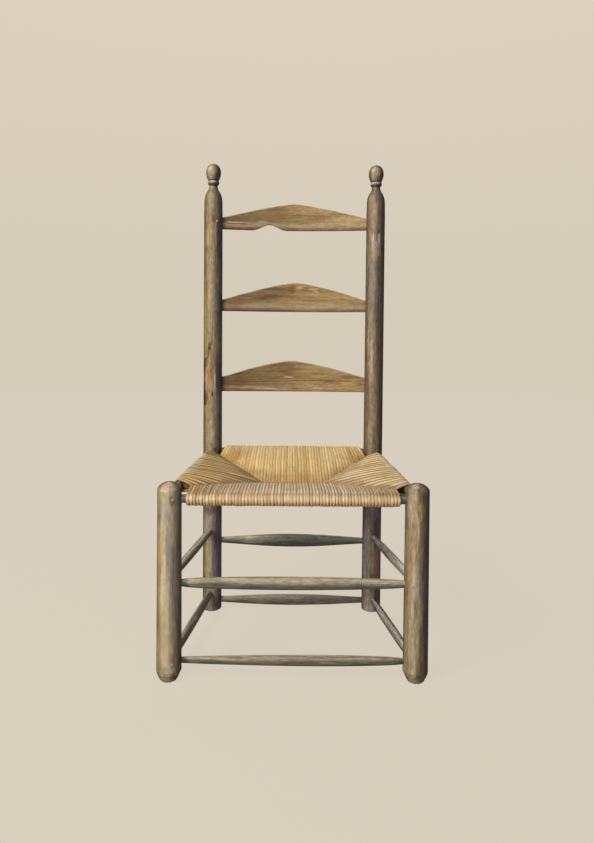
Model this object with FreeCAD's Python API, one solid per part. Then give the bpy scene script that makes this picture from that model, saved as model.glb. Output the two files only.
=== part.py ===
import FreeCAD, Part
import math
import os

# Ladderback side chair with a rush seat. Millimetres, +Z up, the sitter faces -Y.
# Left and right are as seen from the front: left is -X. The origin lies on the floor,
# at the middle of the chair's width and depth.

V = FreeCAD.Vector
UP = V(0, 0, 1)

# Stance of the four posts
front_spacing = 468.8
rear_foot_spacing = 384.6
seat_depth = 310.0
seat_level = 360.0
rake_deg = 2.0
splay_deg = 0.36

# Front posts: slightly tapered, domed on top, whittled to a point at the foot
front_post_height = 376.0
front_post_foot_d = 47.3
front_post_head_d = 45.4
dome_height = 15.0
dome_shoulder_r = 9.0
foot_tip_d = 31.0
foot_waist_d = 37.0
foot_waist_height = 6.5
foot_cut_height = 19.0
foot_facets = 9

# Rear posts: straight, with a turned neck, ring and ball
rear_post_length = 1079.0
rear_post_d = 45.0
rear_foot_round = 3.0
ball_d = 36.4
ball_height = 42.4
ring_d = 28.4
ring_height = 9.0
neck_d = 20.4
neck_to_shoulder = 67.0
neck_run_on = 12.0

# Splintered scar on the front of the left rear post
scar_base = 491.0
scar_depth = 2.2
scar_pit_depth = 6.0
scar_pit_x = 0.4
scar_pit_rise = 21.0
scar_pit_width = 2.2
scar_pit_height = 14.0

# Slats: bowed back between the rear posts, let into slots in them
slat_thickness = 7.5
slat_bow = 15.0
slat_tenon = 19.0
slat_fit = 0.2
slat_bevel = 2.2
slat_crown_power = 1.38
top_slat_drop = 158.0
top_slat_end = 28.0
top_slat_mid = 65.0
top_slat_peak_x = -1.0
top_to_middle_slat = 200.5
middle_slat_end = 27.5
middle_slat_mid = 71.5
middle_slat_peak_x = 5.0
middle_to_bottom_slat = 196.0
bottom_slat_end = 35.5
bottom_slat_mid = 75.5
bottom_slat_peak_x = -8.0

# Worn scoop and split lip on the lower edge of the top slat
scoop_x = -61.5
scoop_height = 14.0
scoop_half_width = 46.0
lip_height = 12.0
lip_depth = 3.0
lip_length = 100.0

# Round tenons and their mortises
tenon_depth = 20.0
side_tenon_depth = 13.0
tenon_fit = 0.15
tenon_end_gap = 0.4
shoulder_gap = 0.3

# Seat rails: straight, with short tapers down to the tenons
rail_tenon_d = 15.0
rail_d = 16.6
rail_taper = 8.0
front_rail_height = 343.5
rear_rail_height = 379.5
left_rail_front_height = 352.5
right_rail_front_height = 350.5
side_rail_rear_height = 375.0
left_rail_inset = 2.0
right_rail_inset = 7.5

# Stretchers: heights at the posts, end and middle diameters, where along the length they
# are thickest, and the power of the swell (the higher, the slimmer toward the ends)
front_upper_height = 183.0
front_upper_end_d = 13.2
front_upper_mid_d = 24.2
front_upper_peak = 0.47
front_lower_height = 35.0
front_lower_end_d = 10.8
front_lower_mid_d = 19.6
front_lower_peak = 0.6
rear_upper_height = 164.0
rear_upper_end_d = 13.8
rear_upper_mid_d = 30.0
rear_upper_power = 1.2
rear_lower_height = 21.0
rear_lower_end_d = 13.2
rear_lower_mid_d = 25.0
rear_lower_power = 1.1
side_stretcher_end_d = 13.4
side_stretcher_mid_d = 18.0
even_peak = 0.5
full_power = 0.6
left_upper_front_height = 189.0
left_upper_rear_height = 191.0
right_upper_front_height = 183.5
right_upper_rear_height = 176.5
left_lower_front_height = 30.5
left_lower_rear_height = 42.0
right_lower_front_height = 30.5
right_lower_rear_height = 27.0

# Wooden pegs, driven in from the front
peg_d = 5.0
peg_fit = 0.1
peg_length = 27.0
peg_stand_out = 0.8
front_peg_inset = 9.8
slat_peg_inset = 11.0
peg_lift = 2.5

# Rush seat: one woven cord in four panels that dip to the mitres and the middle seam
rush_thickness = 4.7
rush_gap = 0.3
front_rush_bare = 11.3
rear_rush_bare = 12.0
left_rush_front_bare = 26.0
right_rush_front_bare = 13.0
side_rush_rear_bare = 11.0
front_corner_inset = 36.0
front_corner_setback = 22.0
left_corner_rise = 20.5
right_corner_rise = 16.0
rear_corner_inset = 21.0
rear_corner_setback = 28.5
rear_corner_drop = 6.0
corner_thickness = 10.5
bridge_half_length = 65.0
bridge_setback = 140.0
bridge_rise = 0.5
bridge_thickness = 15.0
panel_crown = 4.0
corner_crown = 1.0

# Loose rush stuffed between the two layers of each panel
stuffing_skin = 5.0
stuffing_gap = 0.3
stuffing_start = 0.3


rake = math.radians(rake_deg)
splay = math.radians(splay_deg)
front_r = front_post_foot_d / 2
rear_r = rear_post_d / 2
shoulder_height = rear_post_length - ball_height - ring_height - neck_to_shoulder
top_slat_base = rear_post_length - top_slat_drop
middle_slat_base = top_slat_base - top_to_middle_slat
bottom_slat_base = middle_slat_base - middle_to_bottom_slat
# The leaning posts reach farthest back a little above the shoulder
back_overhang = (shoulder_height + neck_run_on) * math.sin(rake) + rear_r * math.cos(rake)
foot_span = seat_depth - seat_level * math.tan(rake)
front_y = front_r - (front_r + foot_span + back_overhang) / 2
rear_foot_y = front_y + foot_span
roll_r = rail_d / 2 + rush_gap + rush_thickness


def front_post_radius(z):
    share = z / front_post_height
    return (front_post_foot_d + (front_post_head_d - front_post_foot_d) * share) / 2


def front_axis(side, z):
    return V(side * front_spacing / 2, front_y, z)


def rear_offset(height):
    # Distance of a rear post's axis from the middle, at a length up the back
    return rear_foot_spacing / 2 + height * math.tan(splay)


def rear_axis(side, z):
    return V(side * rear_offset(z / math.cos(rake)), rear_foot_y + z * math.tan(rake), z)


def back_frame():
    # The leaning plane of the back: its Z runs up the back, its Y out behind it
    return FreeCAD.Placement(V(0, rear_foot_y, 0), FreeCAD.Rotation(V(1, 0, 0), -rake_deg))


def placed(shape, placement):
    moved = shape.copy()
    moved.Placement = placement.multiply(moved.Placement)
    return moved


def along(shape, start, direction):
    # Stand a shape made on +Z at a point, pointing in a direction
    return placed(shape, FreeCAD.Placement(start, FreeCAD.Rotation(UP, direction)))


def bored(shape, holes):
    for hole in holes:
        shape = shape.cut(hole)
    return shape


def curve(points):
    spline = Part.BSplineCurve()
    spline.interpolate(points)
    return spline.toShape()


def line(a, b):
    return Part.makeLine(a, b)


def arc(a, middle, b):
    return Part.Arc(a, middle, b).toShape()


def turned(edges, bottom, top):
    # Turn a half outline, drawn in the XZ plane from axis to axis, about Z
    outline = Part.Wire(edges + [line(V(0, 0, top), V(0, 0, bottom))])
    return Part.Face(outline).revolve(V(0, 0, 0), UP, 360)


def front_post_blank():
    # The dome is a small shoulder arc that runs on into a wide crown arc
    head_r = front_post_head_d / 2
    base = front_post_height - dome_height
    inner = head_r - dome_shoulder_r
    meet = math.pi / 2 - 2 * math.atan((dome_height - dome_shoulder_r) / inner)
    crown_r = dome_shoulder_r + inner / math.cos(meet)
    crown_z = front_post_height - crown_r

    def shoulder(angle):
        return V(inner + dome_shoulder_r * math.cos(angle), 0, base + dome_shoulder_r * math.sin(angle))

    def crown(angle):
        return V(crown_r * math.cos(angle), 0, crown_z + crown_r * math.sin(angle))

    edges = [
        line(V(0, 0, 0), V(front_r, 0, 0)),
        line(V(front_r, 0, 0), V(front_r, 0, foot_cut_height)),
        line(V(front_r, 0, foot_cut_height), V(head_r, 0, base)),
        arc(V(head_r, 0, base), shoulder(meet / 2), shoulder(meet)),
        arc(shoulder(meet), crown((meet + math.pi / 2) / 2), V(0, 0, front_post_height)),
    ]
    return turned(edges, 0, front_post_height)


def facet_ring(diameter, z):
    # A regular polygon whose flats touch a circle, with a flat to the front
    corner_r = diameter / 2 / math.cos(math.pi / foot_facets)
    turn = 2 * math.pi / foot_facets
    points = []
    for i in range(foot_facets + 1):
        angle = (i + 0.5) * turn
        points.append(V(corner_r * math.sin(angle), -corner_r * math.cos(angle), z))
    return Part.makePolygon(points)


def whittled_foot(blank):
    slope = (front_post_foot_d - foot_waist_d) / (foot_cut_height - foot_waist_height)
    top_d = front_post_foot_d + slope * foot_waist_height
    top_z = foot_cut_height + foot_waist_height
    rings = [facet_ring(foot_tip_d, 0), facet_ring(foot_waist_d, foot_waist_height), facet_ring(top_d, top_z)]
    kept = Part.makeLoft(rings, True, True)
    waste = Part.makeCylinder(front_r + 1, top_z).cut(kept)
    return blank.cut(waste)


def front_post(side, holes):
    post = whittled_foot(front_post_blank())
    post = placed(post, FreeCAD.Placement(front_axis(side, 0), FreeCAD.Rotation()))
    return bored(post, holes)


def rear_post_blank():
    neck_r = neck_d / 2
    ring_r = ring_d / 2
    ball_r = ball_d / 2
    ring_top = rear_post_length - ball_height
    ring_base = ring_top - ring_height
    drop = neck_to_shoulder
    swell = rear_r - neck_r
    foot_r = rear_r - rear_foot_round
    neck = [
        V(rear_r, 0, shoulder_height),
        V(rear_r - swell * 0.03, 0, ring_base - drop * 0.72),
        V(rear_r - swell * 0.14, 0, ring_base - drop * 0.46),
        V(rear_r - swell * 0.42, 0, ring_base - drop * 0.31),
        V(rear_r - swell * 0.78, 0, ring_base - drop * 0.20),
        V(neck_r, 0, ring_base - drop * 0.03),
    ]
    ball = [
        V(ball_r * 0.64, 0, ring_top),
        V(ball_r * 0.93, 0, ring_top + ball_height * 0.27),
        V(ball_r, 0, ring_top + ball_height * 0.53),
        V(ball_r * 0.84, 0, ring_top + ball_height * 0.79),
        V(ball_r * 0.48, 0, ring_top + ball_height * 0.95),
        V(0, 0, rear_post_length),
    ]
    ring_low = V(ring_r * 0.8, 0, ring_base)
    ring_high = V(ring_r * 0.94, 0, ring_top)
    rounding = V(foot_r + rear_foot_round * 0.71, 0, rear_foot_round * 0.29)
    edges = [
        line(V(0, 0, -rear_foot_round), V(foot_r, 0, -rear_foot_round)),
        line(V(foot_r, 0, -rear_foot_round), V(foot_r, 0, 0)),
        arc(V(foot_r, 0, 0), rounding, V(rear_r, 0, rear_foot_round)),
        line(V(rear_r, 0, rear_foot_round), neck[0]),
        curve(neck),
        line(neck[-1], ring_low),
        arc(ring_low, V(ring_r, 0, ring_base + ring_height * 0.6), ring_high),
        line(ring_high, ball[0]),
        curve(ball),
    ]
    return turned(edges, -rear_foot_round, rear_post_length)


def scar_tool():
    # Outline as (offset from the post's axis, height over the scar's base)
    outline = [
        (-19.0, 0), (-10.0, 0), (-10.0, 26), (-5.0, 30), (2.4, 33),
        (2.4, 51), (1.7, 95), (-0.5, 115), (-0.7, 138), (-5.0, 139.5),
        (-9.5, 136), (-10.0, 115), (-16.3, 113), (-19.0, 106),
    ]
    points = [V(x, -rear_post_d, scar_base + z) for x, z in outline]
    face = Part.Face(Part.makePolygon(points + [points[0]]))
    patch = face.extrude(V(0, rear_post_d, 0))
    core = Part.makeCylinder(rear_r - scar_depth, rear_post_length)
    corner = V(scar_pit_x, -rear_post_d, scar_base + scar_pit_rise)
    pit = Part.makeBox(scar_pit_width, rear_post_d, scar_pit_height, corner)
    pit_core = Part.makeCylinder(rear_r - scar_pit_depth, rear_post_length)
    return patch.cut(core).fuse(pit.cut(pit_core))


def rear_post(side, holes):
    post = rear_post_blank()
    if side < 0:
        post = post.cut(scar_tool())
    lean = FreeCAD.Rotation(V(0, 1, 0), side * splay_deg)
    stand = FreeCAD.Placement(V(side * rear_foot_spacing / 2, 0, 0), lean)
    post = placed(placed(post, stand), back_frame())
    reach = rear_post_d * 2
    below = Part.makeBox(reach, reach, reach, V(-reach / 2, -reach / 2, -reach) + rear_axis(side, 0))
    return bored(post, [below] + holes)


def slat_sheet(base, height, grow):
    # The bowed board before it is sawn to its outline: an arc in plan, standing up
    tip = rear_offset(base) - rear_r + slat_tenon + grow
    half = slat_thickness / 2 + grow
    front = arc(V(-tip, -half, 0), V(0, slat_bow - half, 0), V(tip, -half, 0))
    back = arc(V(tip, half, 0), V(0, slat_bow + half, 0), V(-tip, half, 0))
    ends = [line(V(tip, -half, 0), V(tip, half, 0)), line(V(-tip, half, 0), V(-tip, -half, 0))]
    plan = Part.Face(Part.Wire([front, ends[0], back, ends[1]]))
    plan.translate(V(0, 0, base - height))
    return plan.extrude(V(0, 0, height * 3))


def slat_crown(base, end, mid, peak_x, half):
    # Top edge: falls from the peak to the ends with a power of the distance
    points = []
    for share in (-1, -0.87, -0.68, -0.45, -0.2, 0, 0.2, 0.45, 0.68, 0.87, 1):
        reach = half + peak_x if share < 0 else half - peak_x
        rise = end + (mid - end) * (1 - abs(share) ** slat_crown_power)
        points.append(V(peak_x + share * reach, 0, base + rise))
    return points


def slat_outline(base, end, mid, peak_x, scooped):
    half = rear_offset(base) - rear_r
    tip = half + slat_tenon
    top = slat_crown(base, end, mid, peak_x, half)
    edges = [
        line(V(-tip, 0, base), V(-tip, 0, base + end)),
        line(V(-tip, 0, base + end), top[0]),
        curve(top),
        line(top[-1], V(tip, 0, base + end)),
        line(V(tip, 0, base + end), V(tip, 0, base)),
    ]
    if scooped:
        right = scoop_x + scoop_half_width
        left = scoop_x - scoop_half_width
        scoop = [
            V(right, 0, base),
            V(scoop_x + scoop_half_width * 0.45, 0, base + scoop_height * 0.5),
            V(scoop_x, 0, base + scoop_height),
            V(scoop_x - scoop_half_width * 0.5, 0, base + scoop_height * 0.42),
            V(left, 0, base),
        ]
        edges += [line(V(tip, 0, base), scoop[0]), curve(scoop), line(scoop[-1], V(-tip, 0, base))]
    else:
        edges.append(line(V(tip, 0, base), V(-tip, 0, base)))
    return Part.Wire(edges)


def split_lip(base):
    # A flat split face that takes off the front lower edge beside the left post
    half = rear_offset(base) - rear_r
    far = -half + lip_length

    def front_y_at(x):
        return slat_bow * (1 - (x / (half + slat_tenon)) ** 2) - slat_thickness / 2

    start = V(-half, front_y_at(-half), base)
    end = V(far, front_y_at(far), base)
    profile = Part.makePolygon([
        start + V(0, -lip_depth, -1), start + V(0, lip_depth, -1),
        start + V(0, 0, lip_height), start + V(0, -lip_depth, lip_height), start + V(0, -lip_depth, -1),
    ])
    return Part.Face(profile).extrude(end - start)


def bevelled(slat, base):
    # Take off the upper front edge, all along the crown
    crown = []
    for edge in slat.Edges:
        box = edge.BoundBox
        low = box.ZMin > base + 1
        long_one = box.XLength > slat_tenon * 2
        ahead = edge.CenterOfMass.y < slat_bow * 0.67
        if low and long_one and ahead:
            crown.append(edge)
    return slat.makeChamfer(slat_bevel, crown)


def slat(base, end, mid, peak_x, scooped=False, grow=0.0):
    outline = slat_outline(base, end, mid, peak_x, scooped)
    depth = slat_bow + rear_post_d * 2
    board = Part.Face(outline).extrude(V(0, depth * 2, 0))
    board.translate(V(0, -depth, 0))
    return slat_sheet(base, mid, grow).common(board)


def slat_slot(side, base, end):
    # Slot in a rear post for the end of a slat
    height = end + slat_fit * 2
    reach = rear_post_d
    sheet = slat_sheet(base, end, slat_fit)
    window = Part.makeBox(reach, reach * 2, height, V(-reach / 2, -reach, base - slat_fit))
    middle = V(side * rear_offset(base), 0, 0)
    window.translate(middle)
    return placed(sheet.common(window), back_frame())


def bulge(u, peak, power):
    # Zero at both ends, one at the peak
    warped = u ** (math.log(0.5) / math.log(peak))
    return math.sin(math.pi * warped) ** power


def spindle_profile(shoulders, tips, end_r, mid_r, swell):
    # Half outline on +Z: tenon, swelling body, tenon
    s0, s1 = shoulders
    peak, power = swell
    body = []
    for u in (0, 0.05, 0.12, 0.22, 0.36, 0.5, 0.64, 0.78, 0.88, 0.95, 1):
        share = bulge(u, peak, power) if 0 < u < 1 else 0
        body.append(V(end_r + (mid_r - end_r) * share, 0, s0 + (s1 - s0) * u))
    return [
        line(V(0, 0, tips[0]), V(end_r, 0, tips[0])),
        line(V(end_r, 0, tips[0]), body[0]),
        curve(body),
        line(body[-1], V(end_r, 0, tips[1])),
        line(V(end_r, 0, tips[1]), V(0, 0, tips[1])),
    ]


def reaches(start, end, radii, depth):
    # Where shoulders and tenon tips lie on the line between two post axes
    length = (end - start).Length
    shoulders = (radii[0] + shoulder_gap, length - radii[1] - shoulder_gap)
    tips = (radii[0] - depth, length - radii[1] + depth)
    return shoulders, tips


def stretcher(start, end, radii, depth, diameters, swell):
    shoulders, tips = reaches(start, end, radii, depth)
    end_d, mid_d = diameters
    profile = spindle_profile(shoulders, tips, end_d / 2, mid_d / 2, swell)
    return along(turned(profile, tips[0], tips[1]), start, end - start)


def seat_rail(start, end, radii, depth):
    # A straight rail that tapers to a tenon at each end
    shoulders, tips = reaches(start, end, radii, depth)
    stations = [
        (tips[0], rail_tenon_d), (shoulders[0], rail_tenon_d), (shoulders[0] + rail_taper, rail_d),
        (shoulders[1] - rail_taper, rail_d), (shoulders[1], rail_tenon_d), (tips[1], rail_tenon_d),
    ]
    points = [V(0, 0, tips[0])] + [V(d / 2, 0, s) for s, d in stations] + [V(0, 0, tips[1])]
    edges = [line(a, b) for a, b in zip(points, points[1:])]
    return along(turned(edges, tips[0], tips[1]), start, end - start)


def mortise(start, end, radius, depth, tenon_d):
    # Hole in the post whose axis passes through the start point
    tip = radius - depth - tenon_end_gap
    hole = Part.makeCylinder(tenon_d / 2 + tenon_fit, depth + tenon_end_gap + radius)
    hole.translate(V(0, 0, tip))
    return along(hole, start, end - start)


def front_peg(side, height, grow=0.0):
    # Peg through a front post and the tenon of a front rail or stretcher
    r = front_post_radius(height)
    surface = math.sqrt(r ** 2 - front_peg_inset ** 2)
    start = front_axis(side, height + peg_lift) - V(side * front_peg_inset, surface + peg_stand_out, 0)
    return along(Part.makeCylinder(peg_d / 2 + grow, peg_length + grow * 2), start, V(0, 1, 0))


def slat_peg(side, base, end, grow=0.0):
    # Peg through a rear post and the end of the top slat
    surface = math.sqrt(rear_r ** 2 - slat_peg_inset ** 2)
    x = side * (rear_offset(base) - slat_peg_inset)
    peg = Part.makeCylinder(peg_d / 2 + grow, peg_length + grow * 2)
    start = V(x, -surface - peg_stand_out, base + end / 2)
    return placed(along(peg, start, V(0, 1, 0)), back_frame())


def panel_section(roll, corner, top, bottom, crown):
    # Closed outline through a panel: round over the rail, then narrowing to the seam.
    # It stands in the upright plane through the rail's axis and the seam point.
    across = V(corner.x - roll.x, corner.y - roll.y, 0)
    reach = across.Length
    across.normalize()

    def at(s, z):
        return roll + across * s + UP * z

    def ring(angle):
        return at(roll_r * math.cos(angle), roll_r * math.sin(angle))

    high = top - roll.z
    low = bottom - roll.z
    up = math.atan2(high, reach) + math.acos(roll_r / math.hypot(reach, high))
    down = math.atan2(low, reach) - math.acos(roll_r / math.hypot(reach, low))
    seam_top = at(reach, high)
    seam_bottom = at(reach, low)
    top_middle = (ring(up) + seam_top) * 0.5 + UP * crown
    bottom_middle = (ring(down) + seam_bottom) * 0.5 - UP * crown
    return Part.Wire([
        arc(ring(down), ring((down - math.pi) / 2), ring(-math.pi)),
        arc(ring(math.pi), ring((up + math.pi) / 2), ring(up)),
        arc(ring(up), top_middle, seam_top),
        line(seam_top, seam_bottom),
        arc(seam_bottom, bottom_middle, ring(down)),
    ])


def filling_section(roll, corner, top, bottom, inset):
    # Four-sided outline of the space inside a panel, smaller by an inset
    across = V(corner.x - roll.x, corner.y - roll.y, 0)
    reach = across.Length
    across.normalize()
    near = roll_r + stuffing_skin / 2 + inset
    far = reach - stuffing_skin - inset
    skin = stuffing_skin + inset

    def low_at(s):
        start = roll.z - roll_r
        return start + (bottom - start) * s / reach + skin

    def high_at(s):
        start = roll.z + roll_r
        return start + (top - start) * s / reach - skin

    corners = []
    for s, z in ((near, high_at(near)), (far, high_at(far)), (far, low_at(far)), (near, low_at(near))):
        point = roll + across * s
        corners.append(V(point.x, point.y, z))
    return Part.makePolygon(corners + [corners[0]])


def mix(a, b, share):
    return a + (b - a) * share


def build_seat_plan(rails):
    # Seam points, and for each panel its (rail point, seam point, top, bottom) stations
    seams = {}
    for side, rise in ((-1, left_corner_rise), (1, right_corner_rise)):
        x = side * (front_spacing / 2 - front_corner_inset)
        y = front_y + front_corner_setback
        top = front_rail_height + rise
        seams["front", side] = (V(x, y, 0), top, top - corner_thickness)
        rear = rear_axis(side, rear_rail_height)
        top = rear_rail_height - rear_corner_drop
        point = V(rear.x - side * rear_corner_inset, rear.y - rear_corner_setback, 0)
        seams["rear", side] = (point, top, top - corner_thickness)
        top = front_rail_height + bridge_rise
        point = V(side * bridge_half_length, front_y + bridge_setback, 0)
        seams["bridge", side] = (point, top, top - bridge_thickness)

    def rail_point(name, share):
        start, end = rails[name]
        return mix(start, end, share)

    def rail_share(name, bare, radius, from_end):
        start, end = rails[name]
        share = (radius + bare) / (end - start).Length
        return 1 - share if from_end else share

    plan = {}
    for name, row, bare, radius in (
        ("front", "front", front_rush_bare, front_post_radius(front_rail_height)),
        ("rear", "rear", rear_rush_bare, rear_r),
    ):
        left = rail_share(name, bare, radius, False)
        right = rail_share(name, bare, radius, True)
        start, end = rails[name]
        stations = [(rail_point(name, left), seams[row, -1], corner_crown)]
        for side in (-1, 1):
            share = (side * bridge_half_length - start.x) / (end.x - start.x)
            stations.append((rail_point(name, share), seams["bridge", side], panel_crown))
        stations.append((rail_point(name, right), seams[row, 1], corner_crown))
        plan[name] = stations
    for name, side, bare in (("left", -1, left_rush_front_bare), ("right", 1, right_rush_front_bare)):
        start, end = rails[name]
        near = rail_share(name, bare, front_post_radius(start.z), False)
        far = rail_share(name, side_rush_rear_bare, rear_r, True)
        share = bridge_setback / (end.y - start.y)
        plan[name] = [
            (rail_point(name, near), seams["front", side], corner_crown),
            (rail_point(name, share), seams["bridge", side], panel_crown),
            (rail_point(name, far), seams["rear", side], corner_crown),
        ]
    return plan


def rush_panel(stations):
    wires = []
    for roll, (seam, top, bottom), crown in stations:
        wires.append(panel_section(roll, seam, top, bottom, crown))
    return Part.makeLoft(wires, True, True)


def panel_filling(stations, inset):
    # Sections between the corner stations, pulled in from the narrow ends
    inner = []
    for i, (roll, (seam, top, bottom), crown) in enumerate(stations):
        if i in (0, len(stations) - 1):
            toward = stations[1] if i == 0 else stations[-2]
            share = stuffing_start + inset / (toward[0] - roll).Length
            roll = mix(roll, toward[0], share)
            seam = mix(seam, toward[1][0], share)
            top = mix(top, toward[1][1], share)
            bottom = mix(bottom, toward[1][2], share)
        inner.append(filling_section(roll, seam, top, bottom, inset))
    return Part.makeLoft(inner, True, True)


def rush_seat(plan, rails, fillings):
    panels = [rush_panel(plan[name]) for name in ("front", "rear", "left", "right")]
    seat = panels[0].fuse(panels[1:])
    bores = []
    for start, end in rails.values():
        bore = Part.makeCylinder(rail_d / 2 + rush_gap, (end - start).Length)
        bores.append(along(bore, start, end - start))
    return seat.cut(bores + fillings)


def side_axes(front_height, rear_height, side, inset=0.0):
    # Where a side rail or stretcher meets its front post, at an inset from the axis of
    # the post, and the axis of its rear post
    return front_axis(side, front_height) - V(side * inset, 0, 0), rear_axis(side, rear_height)


def build():
    nodes = {}
    holes = {"front -1": [], "front 1": [], "rear -1": [], "rear 1": []}

    def bore_posts(a_post, b_post, start, end, radii, depth, tenon_d):
        holes[a_post].append(mortise(start, end, radii[0], depth, tenon_d))
        holes[b_post].append(mortise(end, start, radii[1], depth, tenon_d))

    def across(row, height):
        axis = front_axis if row == "front" else rear_axis
        r = front_post_radius(height) if row == "front" else rear_r
        return axis(-1, height), axis(1, height), (r, r)

    # Seat rails
    rails = {}
    for row, height in (("front", front_rail_height), ("rear", rear_rail_height)):
        start, end, radii = across(row, height)
        rails[row] = (start, end)
        nodes[row + "_seat_rail"] = seat_rail(start, end, radii, tenon_depth)
        bore_posts(row + " -1", row + " 1", start, end, radii, tenon_depth, rail_tenon_d)
    for name, side, height, inset in (
        ("left", -1, left_rail_front_height, left_rail_inset),
        ("right", 1, right_rail_front_height, right_rail_inset),
    ):
        start, end = side_axes(height, side_rail_rear_height, side, inset)
        radii = (math.sqrt(front_post_radius(height) ** 2 - inset ** 2), rear_r)
        rails[name] = (start, end)
        nodes[name + "_seat_rail"] = seat_rail(start, end, radii, side_tenon_depth)
        bore_posts("front %d" % side, "rear %d" % side, start, end, radii, side_tenon_depth, rail_tenon_d)

    # Stretchers between the two front posts and between the two rear posts
    for name, row, height, diameters, swell in (
        ("front_upper", "front", front_upper_height, (front_upper_end_d, front_upper_mid_d),
         (front_upper_peak, full_power)),
        ("front_lower", "front", front_lower_height, (front_lower_end_d, front_lower_mid_d),
         (front_lower_peak, full_power)),
        ("rear_upper", "rear", rear_upper_height, (rear_upper_end_d, rear_upper_mid_d),
         (even_peak, rear_upper_power)),
        ("rear_lower", "rear", rear_lower_height, (rear_lower_end_d, rear_lower_mid_d),
         (even_peak, rear_lower_power)),
    ):
        start, end, radii = across(row, height)
        nodes[name + "_stretcher"] = stretcher(start, end, radii, tenon_depth, diameters, swell)
        bore_posts(row + " -1", row + " 1", start, end, radii, tenon_depth, diameters[0])

    # Side stretchers
    for name, side, front_height, rear_height in (
        ("left_upper", -1, left_upper_front_height, left_upper_rear_height),
        ("left_lower", -1, left_lower_front_height, left_lower_rear_height),
        ("right_upper", 1, right_upper_front_height, right_upper_rear_height),
        ("right_lower", 1, right_lower_front_height, right_lower_rear_height),
    ):
        start, end = side_axes(front_height, rear_height, side)
        radii = (front_post_radius(front_height), rear_r)
        diameters = (side_stretcher_end_d, side_stretcher_mid_d)
        shape = stretcher(start, end, radii, side_tenon_depth, diameters, (even_peak, full_power))
        nodes[name + "_stretcher"] = shape
        bore_posts("front %d" % side, "rear %d" % side, start, end, radii, side_tenon_depth, diameters[0])

    # Slats, pinned at the top one
    for name, base, end, mid, peak_x, scooped in (
        ("top", top_slat_base, top_slat_end, top_slat_mid, top_slat_peak_x, True),
        ("middle", middle_slat_base, middle_slat_end, middle_slat_mid, middle_slat_peak_x, False),
        ("bottom", bottom_slat_base, bottom_slat_end, bottom_slat_mid, bottom_slat_peak_x, False),
    ):
        board = bevelled(slat(base, end, mid, peak_x, scooped), base)
        if scooped:
            board = board.cut(split_lip(base))
        nodes[name + "_slat"] = placed(board, back_frame())
        for side in (-1, 1):
            holes["rear %d" % side].append(slat_slot(side, base, end))

    # Pegs and their holes
    for name, side, height, pinned in (
        ("left_rail_peg", -1, front_rail_height, "front_seat_rail"),
        ("right_rail_peg", 1, front_rail_height, "front_seat_rail"),
        ("right_upper_peg", 1, front_upper_height, "front_upper_stretcher"),
        ("left_lower_peg", -1, front_lower_height, "front_lower_stretcher"),
        ("right_lower_peg", 1, front_lower_height, "front_lower_stretcher"),
    ):
        nodes[name] = front_peg(side, height)
        hole = front_peg(side, height, peg_fit)
        nodes[pinned] = nodes[pinned].cut(hole)
        holes["front %d" % side].append(hole)
    for name, side in (("left_slat_peg", -1), ("right_slat_peg", 1)):
        nodes[name] = slat_peg(side, top_slat_base, top_slat_end)
        hole = slat_peg(side, top_slat_base, top_slat_end, peg_fit)
        nodes["top_slat"] = nodes["top_slat"].cut(hole)
        holes["rear %d" % side].append(hole)

    # Posts, bored for all that goes into them
    for name, side in (("left", -1), ("right", 1)):
        nodes[name + "_front_post"] = front_post(side, holes["front %d" % side])
        nodes[name + "_rear_post"] = rear_post(side, holes["rear %d" % side])

    # Seat
    plan = build_seat_plan(rails)
    hollows = []
    for name in ("front", "rear", "left", "right"):
        hollows.append(panel_filling(plan[name], 0.0))
        nodes[name + "_stuffing"] = panel_filling(plan[name], stuffing_gap)
    nodes["rush_seat"] = rush_seat(plan, rails, hollows)
    return nodes


def save(nodes):
    os.makedirs("parts", exist_ok=True)
    for name, shape in nodes.items():
        shape.exportStep("parts/%s.step" % name)


save(build())
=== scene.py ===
import math

import bpy
import numpy as np
from mathutils import Matrix, Vector


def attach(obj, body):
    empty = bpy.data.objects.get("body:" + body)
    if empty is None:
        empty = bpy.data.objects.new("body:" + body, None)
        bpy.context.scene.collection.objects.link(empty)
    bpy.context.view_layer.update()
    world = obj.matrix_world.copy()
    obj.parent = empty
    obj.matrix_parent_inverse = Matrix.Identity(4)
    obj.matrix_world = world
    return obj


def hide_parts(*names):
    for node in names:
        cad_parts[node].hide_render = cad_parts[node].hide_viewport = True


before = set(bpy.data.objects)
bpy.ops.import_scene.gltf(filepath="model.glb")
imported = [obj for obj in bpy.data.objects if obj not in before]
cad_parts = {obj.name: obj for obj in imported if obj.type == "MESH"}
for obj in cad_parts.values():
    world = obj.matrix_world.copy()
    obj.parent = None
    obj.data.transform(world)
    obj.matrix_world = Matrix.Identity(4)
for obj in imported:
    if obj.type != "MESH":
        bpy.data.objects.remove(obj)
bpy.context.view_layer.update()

# A rustic ladderback chair: old paint worn off turned posts, stained slats and a seat of
# twisted rush. Lengths are in millimetres up to the stage, which is in metres.

MM = 0.001
random = np.random.default_rng(7)

# Stance of the four posts, the same as in the CAD source
FRONT_SPACING = 468.8
REAR_FOOT_SPACING = 384.6
SEAT_DEPTH = 310.0
SEAT_LEVEL = 360.0
RAKE = math.radians(2.0)
SPLAY = math.radians(0.36)
FRONT_POST_R = 23.65
FRONT_POST_HEIGHT = 376.0
REAR_POST_R = 22.5
REAR_POST_HEIGHT = 1078.0
REAR_REACH_HEIGHT = 972.6

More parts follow.
